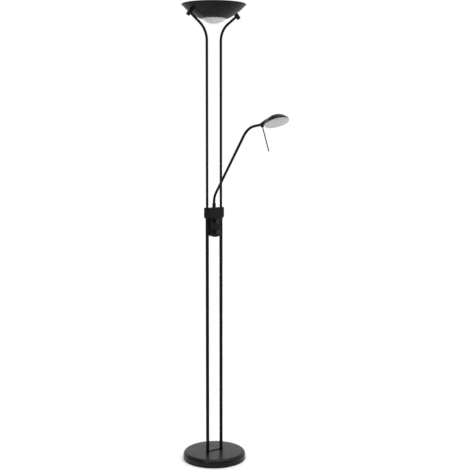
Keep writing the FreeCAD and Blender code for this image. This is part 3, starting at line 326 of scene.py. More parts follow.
# %% [markdown]
# ## Glass
# Opal glass is milky through its whole wall: light enters, spreads and comes out again, and
# only the skin is glossy. The reading head's lens is clear plastic with a frosted face. The
# safety pane and the lamps are plain clear glass with a hint of waviness.

# %% Glass
def glass(slot, low, high, rough, grain, height, **shader):
    """Glass or clear plastic, slightly uneven in tone, polish and surface."""
    look = finish(slot, **shader)
    colour_by(look, pattern(look, "Noise", 30, Detail=3.0), low, high)
    polish_by(look, pattern(look, "Noise", 14, Detail=3.0), rough * 0.85, rough * 1.2)
    relief_by(look, pattern(look, "Noise", grain, Detail=2.0), height)
    looks[slot] = look


glass("opal_glass", (0.47, 0.47, 0.465), (0.51, 0.51, 0.505), 0.16, 12.0, 0.004,
      Subsurface_Weight=0.3, Subsurface_Scale=0.006)
glass("frosted_glass", (0.37, 0.375, 0.38), (0.40, 0.405, 0.41), 0.36, 0.7, 0.012,
      Subsurface_Weight=0.2, Subsurface_Scale=0.003)
glass("clear_glass", (0.93, 0.95, 0.94), (0.97, 0.98, 0.975), 0.02, 20.0, 0.004,
      Transmission_Weight=1.0, IOR=1.5)
glass("quartz_glass", (0.95, 0.95, 0.95), (0.98, 0.98, 0.98), 0.03, 12.0, 0.006,
      Transmission_Weight=1.0, IOR=1.46)
print(len(looks), "finishes:", ", ".join(sorted(looks)))

# %% [markdown]
# ## Dress the CAD pieces
# Each CAD piece already names the finish it should have. Giving all of them the matching
# material first means nothing is left plain, whatever is replaced later.

# %% Give every CAD piece its finish
slot_of = {}
for name, cad_piece in frame["nodes"].items():
    slot_of[name] = cad_piece.material_slots[0].material.name.split(".")[0]
for name, cad_piece in frame["nodes"].items():
    for place in cad_piece.material_slots:
        place.material = looks[slot_of[name]]
print("dressed", len(slot_of), "CAD pieces")

# %% [markdown]
# The floor is one large pale sheet of paper, with a very fine tooth so that it is a real
# surface and not a flat colour.

# %% Floor
paper = finish("floor_paper", Roughness=0.9)
colour_by(paper, pattern(paper, "Noise", 400, Detail=3.0), 0.90, 0.93)
relief_by(paper, pattern(paper, "Noise", 1.5, Detail=3.0), 0.02)
sheet = bpy.data.meshes.new("floor")
half = 30
floor_corners = [(-half, -half, 0), (half, -half, 0), (half, half, 0), (-half, half, 0)]
sheet.from_pydata(floor_corners, [], [(0, 1, 2, 3)])
sheet.materials.append(paper)
floor = bpy.data.objects.new("floor", sheet)
bpy.context.scene.collection.objects.link(floor)
floor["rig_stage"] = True

# %% [markdown]
# ## Turning a piece on a lathe
# Round parts are drawn as half an outline and turned about their axis. A point on the axis
# becomes a single pole; every other point becomes a ring. The faces are then made to point
# outwards, and edges sharper than a set angle stay crisp.

# %% Lathe and piece helpers
def ring_of(shape, r, z, sides):
    """Circle of new points about Z; radius and height in millimetres."""
    return [shape.verts.new((r * mm * math.cos(2 * math.pi * i / sides),
                             r * mm * math.sin(2 * math.pi * i / sides), z * mm)) for i in range(sides)]


def turned(name, outline, sides=96, place=Matrix.Identity(4), closed=False, crisp=35):
    """Mesh turned about Z from (radius, height) points in millimetres, then put in place."""
    shape = bmesh.new()
    rings = []
    for r, z in outline:
        rings.append(ring_of(shape, r, z, sides) if r > 1e-6 else [shape.verts.new((0, 0, z * mm))])
    pairs = list(zip(rings, rings[1:])) + ([(rings[-1], rings[0])] if closed else [])
    for a, b in pairs:
        for i in range(sides if max(len(a), len(b)) > 1 else 0):
            corners = [a[i % len(a)], a[(i + 1) % len(a)], b[(i + 1) % len(b)], b[i % len(b)]]
            shape.faces.new(list(dict.fromkeys(corners)))
    bmesh.ops.recalc_face_normals(shape, faces=shape.faces)
    return as_mesh(name, shape, place, crisp)


def as_mesh(name, shape, place=Matrix.Identity(4), crisp=35):
    """Turn a bmesh into a smooth-shaded mesh whose sharp edges stay crisp."""
    mesh = bpy.data.meshes.new(name)
    shape.to_mesh(mesh)
    shape.free()
    mesh.transform(place)
    mesh.shade_smooth()
    mesh.set_sharp_from_angle(angle=math.radians(crisp))
    return mesh


def arc(cx, cz, r, start, end, steps):
    """Points of an arc about (cx, cz), angles in degrees from the +r direction."""
    angles = [math.radians(start + (end - start) * i / steps) for i in range(steps + 1)]
    return [(cx + r * math.cos(a), cz + r * math.sin(a)) for a in angles]


def lofted(shape, rings):
    """Walls from ring to ring and a cap at each end."""
    for a, b in zip(rings, rings[1:]):
        for i in range(len(a)):
            j = (i + 1) % len(a)
            shape.faces.new((a[i], a[j], b[j], b[i]))
    shape.faces.new(rings[0])
    shape.faces.new(rings[-1])


def piece(mesh, nodes, slot=None):
    """Add a finished mesh to the lamp in place of the CAD nodes it stands for."""
    thing = bpy.data.objects.new(mesh.name, mesh)
    bpy.context.scene.collection.objects.link(thing)
    slot = slot or slot_of[nodes[0]]
    mesh.materials.clear()
    mesh.materials.append(looks[slot])
    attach(thing, rides_on[nodes[0]])
    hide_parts(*nodes)
    print(mesh.name, len(mesh.polygons), "faces")
    return thing


def bevelled(thing, width, steps=2, angle=40):
    """Round the edges that are sharper than the angle."""
    step = thing.modifiers.new("edge", "BEVEL")
    step.width, step.segments, step.limit_method = width * mm, steps, "ANGLE"
    step.angle_limit, step.use_clamp_overlap, step.harden_normals = math.radians(angle), True, True
    return thing


def spans(node):
    """A CAD node's lowest and highest corner in millimetres."""
    low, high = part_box(node)
    return low / mm, high / mm


# %% [markdown]
# ## The base cover
# The real cover is a pressed steel pan with a generous shoulder, drawn over a cast iron
# disc. Its outline is turned with a wall thickness, and the lower edge is rolled slightly so
# that it catches a thin line of light above the felt.

# %% Base cover
low, high = spans("base_cover")
radius, shoulder, wall, rolled = high.x, 14.0, 1.5, 0.6
outside = [(0, high.z), (40, high.z), (80, high.z)]
outside += arc(radius - shoulder, high.z - shoulder, shoulder, 90, 0, 16)
outside += [(radius, low.z + 8)] + arc(radius - rolled, low.z + rolled, rolled, 0, -90, 4)
inside = [(radius - wall, low.z)]
inside += arc(radius - shoulder, high.z - shoulder, shoulder - wall, 0, 90, 10) + [(0, high.z - wall)]
piece(turned("base_cover_pan", outside + inside, sides=160), ["base_cover"])

# %% [markdown]
# ## The foot bridge
# A thin plate ties the two poles together where they stand: a ring round each pole and a
# narrow bar between. Its outline is one closed loop, pulled up to a plate, and a small bevel
# gives it the soft edge of a die-cut part.

# %% Foot bridge
low, high = spans("foot_bridge")
ring_r, bar_half = high.y, 2.0
pole_x = high.x - ring_r
open_angle = math.degrees(math.asin(bar_half / ring_r))
loop = arc(pole_x, 0, ring_r, -180 + open_angle, 180 - open_angle, 40)
loop += [(-x, -y) for x, y in loop]
plate = bmesh.new()
lofted(plate, [[plate.verts.new((x * mm, y * mm, z * mm)) for x, y in loop] for z in (low.z, high.z)])
bmesh.ops.recalc_face_normals(plate, faces=plate.faces)
bevelled(piece(as_mesh("foot_bridge_plate", plate), ["foot_bridge"]), 0.5, 3)

# %% [markdown]
# ## Trees of geometry nodes
# Whatever repeats or follows a path is grown by a small tree of geometry nodes. One helper
# opens a tree with named inputs, some add nodes and close the tree, and the last runs it
# once with given sizes and hands back a plain mesh.

# %% Geometry node helpers
def open_tree(name, **inputs):
    """New tree with a geometry input and named inputs of the given kinds."""
    tree = bpy.data.node_groups.new(name, "GeometryNodeTree")
    tree.interface.new_socket("Geometry", in_out="INPUT", socket_type="NodeSocketGeometry")
    for label, kind in inputs.items():
        tree.interface.new_socket(label.replace("_", " "), in_out="INPUT", socket_type="NodeSocket" + kind)
    tree.interface.new_socket("Geometry", in_out="OUTPUT", socket_type="NodeSocketGeometry")
    return tree, tree.nodes.new("NodeGroupInput").outputs


def node(tree, kind, feeds=(), **settings):
    """Add a node, set its options and feed its inputs from sockets or plain values."""
    made = tree.nodes.new(kind)
    for option, value in settings.items():
        setattr(made, option, value)
    for socket, value in dict(feeds).items():
        if isinstance(value, bpy.types.NodeSocket):
            tree.links.new(value, made.inputs[socket])
        else:
            made.inputs[socket].default_value = value
    return made.outputs


def sums(tree, operation, a, b=0.0):
    """One step of arithmetic on numbers or sockets."""
    return node(tree, "ShaderNodeMath", {0: a, 1: b}, operation=operation)[0]


def close_tree(tree, geometry, material):
    """Every tree ends the same way: real instances, then the material."""
    real = node(tree, "GeometryNodeRealizeInstances", {"Geometry": geometry})[0]
    dressed = node(tree, "GeometryNodeSetMaterial", {"Geometry": real, "Material": material})[0]
    tree.links.new(dressed, tree.nodes.new("NodeGroupOutput").inputs[0])
    return tree


def swept(tree, curve, sides, radius):
    """Sweep a round section along a curve and close its ends."""
    section = node(tree, "GeometryNodeCurvePrimitiveCircle", {"Resolution": sides, "Radius": radius})[0]
    path = {"Curve": curve, "Profile Curve": section, "Fill Caps": True}
    return node(tree, "GeometryNodeCurveToMesh", path)[0]


def grown(name, tree, start, place=Matrix.Identity(4), crisp=35, **sizes):
    """Run a tree on a start mesh and return the plain mesh that it makes."""
    holder = bpy.data.objects.new(name, start)
    bpy.context.scene.collection.objects.link(holder)
    step = holder.modifiers.new("grow", "NODES")
    step.node_group = tree
    for socket in tree.interface.items_tree:
        label = socket.name.replace(" ", "_")
        if socket.in_out == "INPUT" and label in sizes:
            step[socket.identifier] = sizes[label]
    made = holder.evaluated_get(bpy.context.evaluated_depsgraph_get())
    mesh = bpy.data.meshes.new_from_object(made)
    holder.modifiers.remove(step)
    bpy.data.objects.remove(holder)
    mesh.name = name
    mesh.transform(place)
    mesh.shade_smooth()
    mesh.set_sharp_from_angle(angle=math.radians(crisp))
    return mesh


# %% [markdown]
# ## Bent tubes
# A tube is a line with rounded corners and a round section. The line is a mesh of a few
# points, each with the radius of its bend stored beside it. The tree rounds the corners and
# sweeps the section, so the same tree makes the poles and the arm.

# %% Tube tree
tube_tree, given = open_tree("bent_tube", Tube_radius="Float", Sides="Int", Bend_steps="Int",
                             Finish="Material")
line = node(tube_tree, "GeometryNodeMeshToCurve", {"Mesh": given["Geometry"]})[0]
bend = node(tube_tree, "GeometryNodeInputNamedAttribute", {"Name": "bend"}, data_type="FLOAT")[0]
corners = {"Curve": line, "Radius": bend, "Count": given["Bend steps"], "Limit Radius": False}
rounded = node(tube_tree, "GeometryNodeFilletCurve", corners, mode="POLY")[0]
close_tree(tube_tree, swept(tube_tree, rounded, given["Sides"], given["Tube radius"]), given["Finish"])


def tube(name, points, radius, nodes, sides=40, steps=22):
    """Tube through points (x, y, z, bend radius), all in millimetres."""
    start = bpy.data.meshes.new(name + "_line")
    start.from_pydata([Vector(p[:3]) * mm for p in points], [(i, i + 1) for i in range(len(points) - 1)], [])
    stored = start.attributes.new("bend", "FLOAT", "POINT")
    stored.data.foreach_set("value", [p[3] * mm for p in points])
    mesh = grown(name, tube_tree, start, Tube_radius=radius * mm, Sides=sides, Bend_steps=steps,
                 Finish=looks[slot_of[nodes[0]]])
    shape = bmesh.new()
    shape.from_mesh(mesh)
    bmesh.ops.recalc_face_normals(shape, faces=shape.faces)
    shape.to_mesh(mesh)
    shape.free()
    return piece(mesh, nodes)


# %% [markdown]
# The lower poles are straight. The upper ones lean outwards at the top and end on the axis
# of a clamp that stands square to the bowl, so the bowl's curve has to be known first: it
# is an arc between the flat lip and the rim, a few millimetres proud of the straight line
# between them.

# %% Poles
low, high = spans("bowl")
bowl_r, bowl_low, bowl_top = high.x, low.z, high.z
lip_r, bead, bulge = 54.0, 1.3, 5.0
chord = Vector((bowl_r - bead - lip_r, bowl_top - bead - bowl_low))
arc_r = chord.length_squared / (8 * bulge) + bulge / 2
arc_at = Vector((lip_r, bowl_low)) + chord / 2 + Vector((chord.y, -chord.x)).normalized() * (bulge - arc_r)
clamp_inset, clamp_reach = 24.0, 16.0
clamp_x = bowl_r - clamp_inset
foot = Vector((clamp_x, arc_at.y - math.sqrt(arc_r ** 2 - (clamp_x - arc_at.x) ** 2)))
outward = (foot - arc_at).normalized()
end = foot + outward * clamp_reach
lean, pole_bend, slim_r = 52, 85, 5.0
for side, sign in (("right", 1), ("left", -1)):
    low, high = spans("lower_pole_" + side)
    upright = [(sign * pole_x, 0, z, 0) for z in (low.z, high.z)]
    tube("lower_pole_tube_" + side, upright, high.y + 0.02, ["lower_pole_" + side], sides=48)
    seat = spans("upper_pole_" + side)[0].z
    corner = end.y - (end.x - pole_x) / math.tan(math.radians(lean))
    bent = [(sign * pole_x, 0, seat, 0), (sign * pole_x, 0, corner, pole_bend), (sign * end.x, 0, end.y, 0)]
    tube("upper_pole_tube_" + side, bent, slim_r, ["upper_pole_" + side])

# %% [markdown]
# The reading arm rises from the housing, leans forward and levels out towards the head. Its
# corners are found from the angles of its three runs, and it ends just short of the pivot.

# %% Arm and handle rod
house_top = spans("housing_rear_shell")[1].z
pivot = Vector(joints["head_tilt"]["pos_m"]) / mm
knee_rise, knee_bend = 42, 60
elbow_out, elbow_bend, climb = 218.9, 100, 39.1
pivot_gap, head_tip = 8.0, 23.2
knee = Vector((0, 0, house_top + knee_rise))
elbow = Vector((0, -elbow_out, knee.z + elbow_out / math.tan(math.radians(climb))))
last_run = (pivot - elbow).normalized()
arm_end = pivot - last_run * pivot_gap
arm_foot = spans("arm_tube")[0].z
route = [(0, 0, arm_foot, 0), (*knee, knee_bend), (*elbow, elbow_bend), (*arm_end, 0)]
tube("arm_bent_tube", route, slim_r, ["arm_tube"])
to_head = Matrix.Translation(pivot * mm) @ Matrix.Rotation(math.radians(-head_tip), 4, "X")
rod_end, rod_start, rod_r, rod_tip_r = -105, -7.8, 2, 1.2
rod = [(0, rod_end)] + arc(rod_r - rod_tip_r, rod_end + rod_tip_r, rod_tip_r, -90, 0, 4)
rod += [(rod_r, -60), (rod_r, rod_start), (0, rod_start)]
piece(turned("handle_thin_rod", rod, sides=24, place=to_head), ["handle_rod"])

# %% [markdown]
# ## Clamps under the bowl
# Each clamp is a short turned barrel with eased edges, standing square to the bowl's wall.
# It is turned upright and then swung onto the clamp's axis.

# %% Clamp barrels
def facing(at, way):
    """Place that puts the lathe's Z along a direction, starting from a point in millimetres."""
    return Matrix.Translation(Vector(at) * mm) @ Vector(way).to_track_quat("Z", "Y").to_matrix().to_4x4()


barrel = [(0, 0), (7.2, 0), (8, 0.8), (8, 27.9)] + arc(6.8, 28.3, 1.2, 0, 90, 5)[1:]
barrel += [(2.6, 29.5), (2.1, 29.0), (2.1, 23.5), (0, 23.5)]
for side, sign in (("right", 1), ("left", -1)):
    on_bowl = facing((sign * foot.x, 0, foot.y), (sign * outward.x, 0, outward.y))
    piece(turned("clamp_barrel_" + side, barrel, sides=48, place=on_bowl), ["barrel_" + side])

# %% [markdown]
# ## The dimmer housing
# Two moulded shells meet on the poles' centre line and leave a hair-thin joint. The upper
# block is a slot shape, round about each pole, with a chamfer below; the lower body hangs
# between the poles and ends in a shallow curve. Each is lofted from its own outline, and the
# screw recesses at the back are cut with a Boolean.

# %% Housing shells
def block_half(shape, sign, seam=0.15):
    """Half of the slot-shaped block, lofted over its heights."""
    end_r, top, bottom, chamfer, eased = 12.5, house_top, house_top - 43, 4.5, 1
    levels = [(bottom, chamfer), (bottom + chamfer, 0)]
    for a in (0, 0.4, 0.8, 1.2, math.pi / 2):
        levels.append((top - eased + eased * math.sin(a), eased - eased * math.cos(a)))
    rings = []
    for z, inset in levels:
        r = end_r - inset
        curve = arc(-pole_x, 0, r, 180, 270, 14) + arc(pole_x, 0, r, 270, 360, 14)
        rings.append([shape.verts.new((x * mm, sign * min(y, -seam) * -mm, z * mm)) for x, y in curve])
    return rings


def body_half(shape, sign, seam=0.15):
    """Half of the lower body; its lower edge follows a shallow arc."""
    pole_r, play, deep = 6.5, 0.5, 12
    half, corner, sag, low_z = pole_x - pole_r - play, 5.0, 9.0, house_top - 116
    swing = (half ** 2 + sag ** 2) / (2 * sag)
    curve = [(-half, -seam)] + arc(-half + corner, -deep + corner, corner, 180, 270, 8)
    curve += [(-half + corner + (2 * half - 2 * corner) * i / 24, -deep) for i in range(1, 24)]
    curve += arc(half - corner, -deep + corner, corner, 270, 360, 8) + [(half, -seam)]
    bottoms = [low_z + swing - math.sqrt(swing ** 2 - x * x) for x, y in curve]
    rows = [[shape.verts.new((x * mm, sign * -y * mm, z * mm)) for (x, y), z in zip(curve, bottoms)],
            [shape.verts.new((x * mm, sign * -y * mm, (house_top - 38) * mm)) for x, y in curve]]
    inner = list(zip(curve, bottoms))[1:-1]
    return rows, [shape.verts.new((x * mm, sign * seam * mm, z * mm)) for (x, y), z in inner]


def housing_half(name, sign):
    """Front (sign -1) or rear (sign 1) shell: the block and the body, closed at the seam."""
    shape = bmesh.new()
    lofted(shape, block_half(shape, sign))
    (edge, top), seam_line = body_half(shape, sign)
    for i in range(len(edge) - 1):
        shape.faces.new((edge[i], edge[i + 1], top[i + 1], top[i]))
    back = [edge[0]] + seam_line + [edge[-1]]
    for i in range(len(edge) - 1):
        shape.faces.new(list(dict.fromkeys((edge[i], edge[i + 1], back[i + 1], back[i]))))
    shape.faces.new([top[0]] + back + [top[-1]])
    shape.faces.new(top)
    bmesh.ops.recalc_face_normals(shape, faces=shape.faces)
    return as_mesh(name, shape)


front = piece(housing_half("housing_front_half", -1), ["housing_front_shell"])
bevelled(front, 0.7, 3, 35)
screw_x, screw_z = 18.0, (house_top - 25, house_top - 91)
recess_r, recess_depth, recess_y = 3, 6, 12.6
screw_places = [(x, z) for x in (-screw_x, screw_x) for z in screw_z]
rear_mesh = housing_half("housing_rear_half", 1)
drills = bmesh.new()
for x, z in screw_places:
    at_screw = Matrix.Translation((x * mm, recess_y * mm, z * mm)) @ Matrix.Rotation(math.pi / 2, 4, "X")
    bmesh.ops.create_cone(drills, cap_ends=True, segments=28, radius1=recess_r * mm, radius2=recess_r * mm,
                          depth=recess_depth * mm, matrix=at_screw)
drill = bpy.data.objects.new("drill", as_mesh("drill", drills))
uncut = bpy.data.objects.new("uncut", rear_mesh)
for thing in (drill, uncut):
    bpy.context.scene.collection.objects.link(thing)
cut = uncut.modifiers.new("recesses", "BOOLEAN")
cut.operation, cut.solver, cut.object = "DIFFERENCE", "EXACT", drill
cut.use_self = True
rear_mesh = bpy.data.meshes.new_from_object(uncut.evaluated_get(bpy.context.evaluated_depsgraph_get()))
rear_mesh.name = "housing_rear_with_recesses"
for thing in (drill, uncut):
    bpy.data.objects.remove(thing)
rear = piece(rear_mesh, ["housing_rear_shell"])
bevelled(rear, 0.5, 2, 35)

# %% [markdown]
# ## Screws and studs
# Fasteners are the classic use of instances: one screw is turned and its cross is sunk into
# the head, then a tree puts a copy at each marked point and turns it the way that point
# says.

# %% Fastener tree
fastener_tree, given = open_tree("fasteners", Pattern_piece="Object", Finish="Material")
shape_in = node(fastener_tree, "GeometryNodeObjectInfo", {"Object": given["Pattern piece"]},
                transform_space="ORIGINAL")
turns = node(fastener_tree, "GeometryNodeInputNamedAttribute", {"Name": "turns"}, data_type="FLOAT_VECTOR")[0]
copies = node(fastener_tree, "GeometryNodeInstanceOnPoints",
              {"Points": given["Geometry"], "Instance": shape_in["Geometry"], "Rotation": turns})[0]
close_tree(fastener_tree, copies, given["Finish"])


def fasteners(name, one, places, nodes):
    """Copies of one fastener mesh at (x, y, z) points with (x, y, z) turns in degrees."""
    start = bpy.data.meshes.new(name + "_points")
    start.from_pydata([Vector(at) * mm for at, turned_by in places], [], [])
    stored = start.attributes.new("turns", "FLOAT_VECTOR", "POINT")
    stored.data.foreach_set("vector", [math.radians(a) for at, turned_by in places for a in turned_by])
    sample = bpy.data.objects.new(name + "_sample", one)
    bpy.context.scene.collection.objects.link(sample)
    mesh = grown(name, fastener_tree, start, Pattern_piece=sample, Finish=looks[slot_of[nodes[0]]])
    bpy.data.objects.remove(sample)
    return piece(mesh, nodes)


def cross_screw(name, head_r, head_h, shank_r, shank_l):
    """Pan-head screw with a cross recess; the head's top is at height 0 and Z points out."""
    shape = bmesh.new()
    arm, wide, deep = head_r * 0.56, head_r * 0.15, head_h * 0.55
    cross = [(arm, wide), (wide, wide), (wide, arm)]
    cross = [(x * math.cos(q) - y * math.sin(q), x * math.sin(q) + y * math.cos(q))
             for q in (0, math.pi / 2, math.pi, 3 * math.pi / 2) for x, y in cross]
    sides = 48
    crown = ring_of(shape, head_r * 0.8, 0, sides)
    mouth = [shape.verts.new((x * mm, y * mm, 0)) for x, y in cross]
    pit = [shape.verts.new((x * 0.75 * mm, y * 0.75 * mm, -deep * mm)) for x, y in cross]
    shape.faces.new(pit)
    for i in range(12):
        shape.faces.new((mouth[i], mouth[(i + 1) % 12], pit[(i + 1) % 12], pit[i]))
    for i in range(sides):
        j = (i + 1) % sides
        near = [int(round(k * 12 / sides)) % 12 for k in (i, i + 1)]
        shape.faces.new(list(dict.fromkeys((crown[i], crown[j], mouth[near[1]], mouth[near[0]]))))
    outline = [(head_r * 0.94, -0.12 * head_h), (head_r, -0.45 * head_h), (head_r, -head_h)]
    outline += [(shank_r, -head_h), (shank_r, -head_h - shank_l)]
    last = crown
    for r, z in outline:
        ring = ring_of(shape, r, z, sides)
        for i in range(sides):
            shape.faces.new((last[i], last[(i + 1) % sides], ring[(i + 1) % sides], ring[i]))
        last = ring
    shape.faces.new(last)
    bmesh.ops.recalc_face_normals(shape, faces=shape.faces)
    return as_mesh(name, shape)


head_at, turn_step, first_turn = spans("housing_screws")[1].y, 25, 10
driven = [((x, head_at, z), (-90, turn_step * n + first_turn, 0)) for n, (x, z) in enumerate(screw_places)]
housing_screw = cross_screw("housing_screw", head_r=2.8, head_h=2.0, shank_r=1.5, shank_l=14.0)
fasteners("housing_cross_screws", housing_screw, driven, ["housing_screws"])
stud_r, root_r, half_pitch = 1.5, 1.25, 0.25
stud = [(0, 0), (stud_r, 0)] + [(stud_r if i % 2 else root_r, half_pitch * i) for i in range(1, 35)]
stud += [(1.1, 9), (0, 9)]
low, high = spans("ring_studs")
pitch_r = high.x - stud_r
standing = []
for quarter in (0, 90, 180, 270):
    a = math.radians(quarter)
    standing.append(((pitch_r * math.cos(a), pitch_r * math.sin(a), low.z), (0, 0, quarter)))
fasteners("ring_threaded_studs", turned("ring_stud", stud, sides=16, crisp=20), standing, ["ring_studs"])

# %% [markdown]
# ## Dimmer knobs
# A knob is a turned core with a ring of upright ribs for the fingers. The tree makes one
# rib, thins its two ends, and repeats it round the core. A short grey mark on the face
# shows how far the knob is turned.

# %% Rib tree and knobs
rib_tree, given = open_tree("ring_of_ribs", Ribs="Int", Circle_radius="Float", Rib_radius="Float",
                            Rib_start="Float", Rib_end="Float", Finish="Material")
tip = node(rib_tree, "ShaderNodeCombineXYZ", {"Z": given["Rib end"]})[0]
tail = node(rib_tree, "ShaderNodeCombineXYZ", {"Z": given["Rib start"]})[0]
spine = node(rib_tree, "GeometryNodeCurvePrimitiveLine", {"Start": tail, "End": tip})[0]
spine = node(rib_tree, "GeometryNodeResampleCurve", {"Curve": spine, "Count": 9})[0]
along = node(rib_tree, "GeometryNodeSplineParameter")[0]
from_middle = sums(rib_tree, "SUBTRACT", sums(rib_tree, "MULTIPLY", along, 2.0), 1.0)
off_centre = sums(rib_tree, "ABSOLUTE", from_middle)
slimming = sums(rib_tree, "SQRT", sums(rib_tree, "SUBTRACT", 1.02, sums(rib_tree, "POWER", off_centre, 8.0)))
spine = node(rib_tree, "GeometryNodeSetCurveRadius", {"Curve": spine, "Radius": slimming})[0]
rib = swept(rib_tree, spine, 12, given["Rib radius"])
round_core = node(rib_tree, "GeometryNodeMeshCircle",
                  {"Vertices": given["Ribs"], "Radius": given["Circle radius"]})[0]
repeated = node(rib_tree, "GeometryNodeInstanceOnPoints", {"Points": round_core, "Instance": rib})[0]
close_tree(rib_tree, repeated, given["Finish"])

core = [(0, 5.5), (6.5, 5.5), (6.5, 0), (8.7, 0), (9, 0.3), (9, 1.3), (8.35, 1.7), (8.35, 12.9),
        (9, 13.3), (9, 13.9), (8.7, 14.4), (8.0, 14.92), (7.6, 15), (7.0, 14.7), (0, 14.62)]
for level in ("upper", "lower"):
    at = Vector(joints["dimmer_" + level]["pos_m"])
    onto_shaft = Matrix.Translation(at) @ Matrix.Rotation(math.pi / 2, 4, "X")
    core_mesh = turned("knob_core_" + level, core, sides=96, place=onto_shaft, crisp=28)
    piece(core_mesh, ["dimmer_knob_" + level])
    ribs = grown("knob_ribs_" + level, rib_tree, bpy.data.meshes.new("empty"), place=onto_shaft, Ribs=24,
                 Circle_radius=8.38 * mm, Rib_radius=0.61 * mm, Rib_start=1.4 * mm, Rib_end=13.2 * mm,
                 Finish=looks["knob_plastic"])
    piece(ribs, ["dimmer_knob_" + level])
    mark = bmesh.new()
    bar = Matrix.Translation((0, 5.0 * mm, 14.6 * mm)) @ Matrix.Diagonal((1.0 * mm, 4.6 * mm, 0.5 * mm, 1))
    bmesh.ops.create_cube(mark, size=1, matrix=bar)
    mark_mesh = as_mesh("knob_mark_" + level, mark, onto_shaft @ Matrix.Rotation(math.radians(140), 4, "Z"))
    bevelled(piece(mark_mesh, ["dimmer_knob_" + level], slot="grey_plastic"), 0.12, 2)

# %% [markdown]
# ## The bowl
# The bowl follows one rule: from the flat lip, its wall climbs along an arc to the rim. A
# flat grid is bent to that rule, row by row for the arc and column by column round the
# circle. The lip is a second grid, the wall gets its thickness from Solidify, and a rolled
# bead closes the rim. The outside is black; the inside is a separate white lining, because
# it sends the light up.

# %% Bowl tree
bowl_tree, given = open_tree("dished_wall", Steps_round="Int", Steps_up="Int", Inner_radius="Float",
                             Outer_radius="Float", Arc_centre="Float", Arc_height="Float",
                             Arc_radius="Float", Lip_radius="Float", Finish="Material")
columns = sums(bowl_tree, "ADD", given["Steps round"], 1.0)
unit_grid = {"Size X": 1.0, "Size Y": 1.0, "Vertices X": columns, "Vertices Y": given["Steps up"]}
grid = node(bowl_tree, "GeometryNodeMeshGrid", unit_grid)[0]
flat = node(bowl_tree, "ShaderNodeSeparateXYZ", {0: node(bowl_tree, "GeometryNodeInputPosition")[0]})
turn_by = sums(bowl_tree, "MULTIPLY", sums(bowl_tree, "ADD", flat["X"], 0.5), 2 * math.pi)
share = sums(bowl_tree, "ADD", flat["Y"], 0.5)
width = sums(bowl_tree, "SUBTRACT", given["Outer radius"], given["Lip radius"])
r_arc = sums(bowl_tree, "ADD", given["Lip radius"], sums(bowl_tree, "MULTIPLY", width, share))


def arc_height(radius):
    """Height of the wall's arc at a distance from the axis."""
    from_centre = sums(bowl_tree, "SUBTRACT", radius, given["Arc centre"])
    across_squared = sums(bowl_tree, "POWER", from_centre, 2.0)
    squared = sums(bowl_tree, "SUBTRACT", sums(bowl_tree, "POWER", given["Arc radius"], 2.0), across_squared)
    return sums(bowl_tree, "SUBTRACT", given["Arc height"], sums(bowl_tree, "SQRT", squared))


def wrapped(radius, height):
    """Put the grid's points round the axis at the given radius and height."""
    x = sums(bowl_tree, "MULTIPLY", radius, sums(bowl_tree, "COSINE", turn_by))
    y = sums(bowl_tree, "MULTIPLY", radius, sums(bowl_tree, "SINE", turn_by))
    place = node(bowl_tree, "ShaderNodeCombineXYZ", {"X": x, "Y": y, "Z": height})[0]
    return node(bowl_tree, "GeometryNodeSetPosition", {"Geometry": grid, "Position": place})[0]


wall_part = wrapped(r_arc, arc_height(r_arc))
lip_width = sums(bowl_tree, "SUBTRACT", given["Lip radius"], given["Inner radius"])
r_flat = sums(bowl_tree, "ADD", given["Inner radius"], sums(bowl_tree, "MULTIPLY", lip_width, share))
lip_part = wrapped(r_flat, arc_height(given["Lip radius"]))
both = bowl_tree.nodes.new("GeometryNodeJoinGeometry")
for part in (wall_part, lip_part):
    bowl_tree.links.new(part, both.inputs[0])
sewn = node(bowl_tree, "GeometryNodeMergeByDistance", {"Geometry": both.outputs[0], "Distance": 0.00002})[0]
close_tree(bowl_tree, sewn, given["Finish"])


def bowl_skin(name, inset, wall, slot, nodes):
    """One skin of the bowl, inset from the outside by some of the wall, with its own wall."""
    radius = arc_r - inset
    lip = arc_at.x + math.sqrt(radius ** 2 - (arc_at.y - bowl_low - inset) ** 2)
    mesh = grown(name, bowl_tree, bpy.data.meshes.new("empty"), Steps_round=160, Steps_up=22,
                 Inner_radius=opening_r * mm, Outer_radius=(bowl_r - bead - inset) * mm,
                 Arc_centre=arc_at.x * mm, Arc_height=arc_at.y * mm, Arc_radius=radius * mm,
                 Lip_radius=lip * mm, Finish=looks[slot])
    shape = bmesh.new()
    shape.from_mesh(mesh)
    if sum(face.normal.z for face in shape.faces) > 0:
        bmesh.ops.reverse_faces(shape, faces=shape.faces)
    shape.to_mesh(mesh)
    shape.free()
    thing = piece(mesh, nodes, slot)
    step = thing.modifiers.new("wall", "SOLIDIFY")
    step.thickness, step.offset, step.use_even_offset = wall * mm, -1.0, True
    return thing


opening_r = 45.6
bowl_skin("bowl_outer_wall", 0.0, 0.62, "bowl_paint", ["bowl"])
bowl_skin("bowl_white_lining", 0.66, 0.50, "white_steel", ["bowl"])
bead_ring = [(bowl_r - bead + x, bowl_top - bead + z) for x, z in arc(0, 0, bead, 0, 330, 11)]
piece(turned("bowl_rolled_rim", bead_ring, sides=160, closed=True), ["bowl"])

# %% [markdown]
# ## The opal glass
# A blown dome hangs through the opening on its flange. Its outside and inside are two arcs
# of their own, so the wall is real, and the light can spread in it.

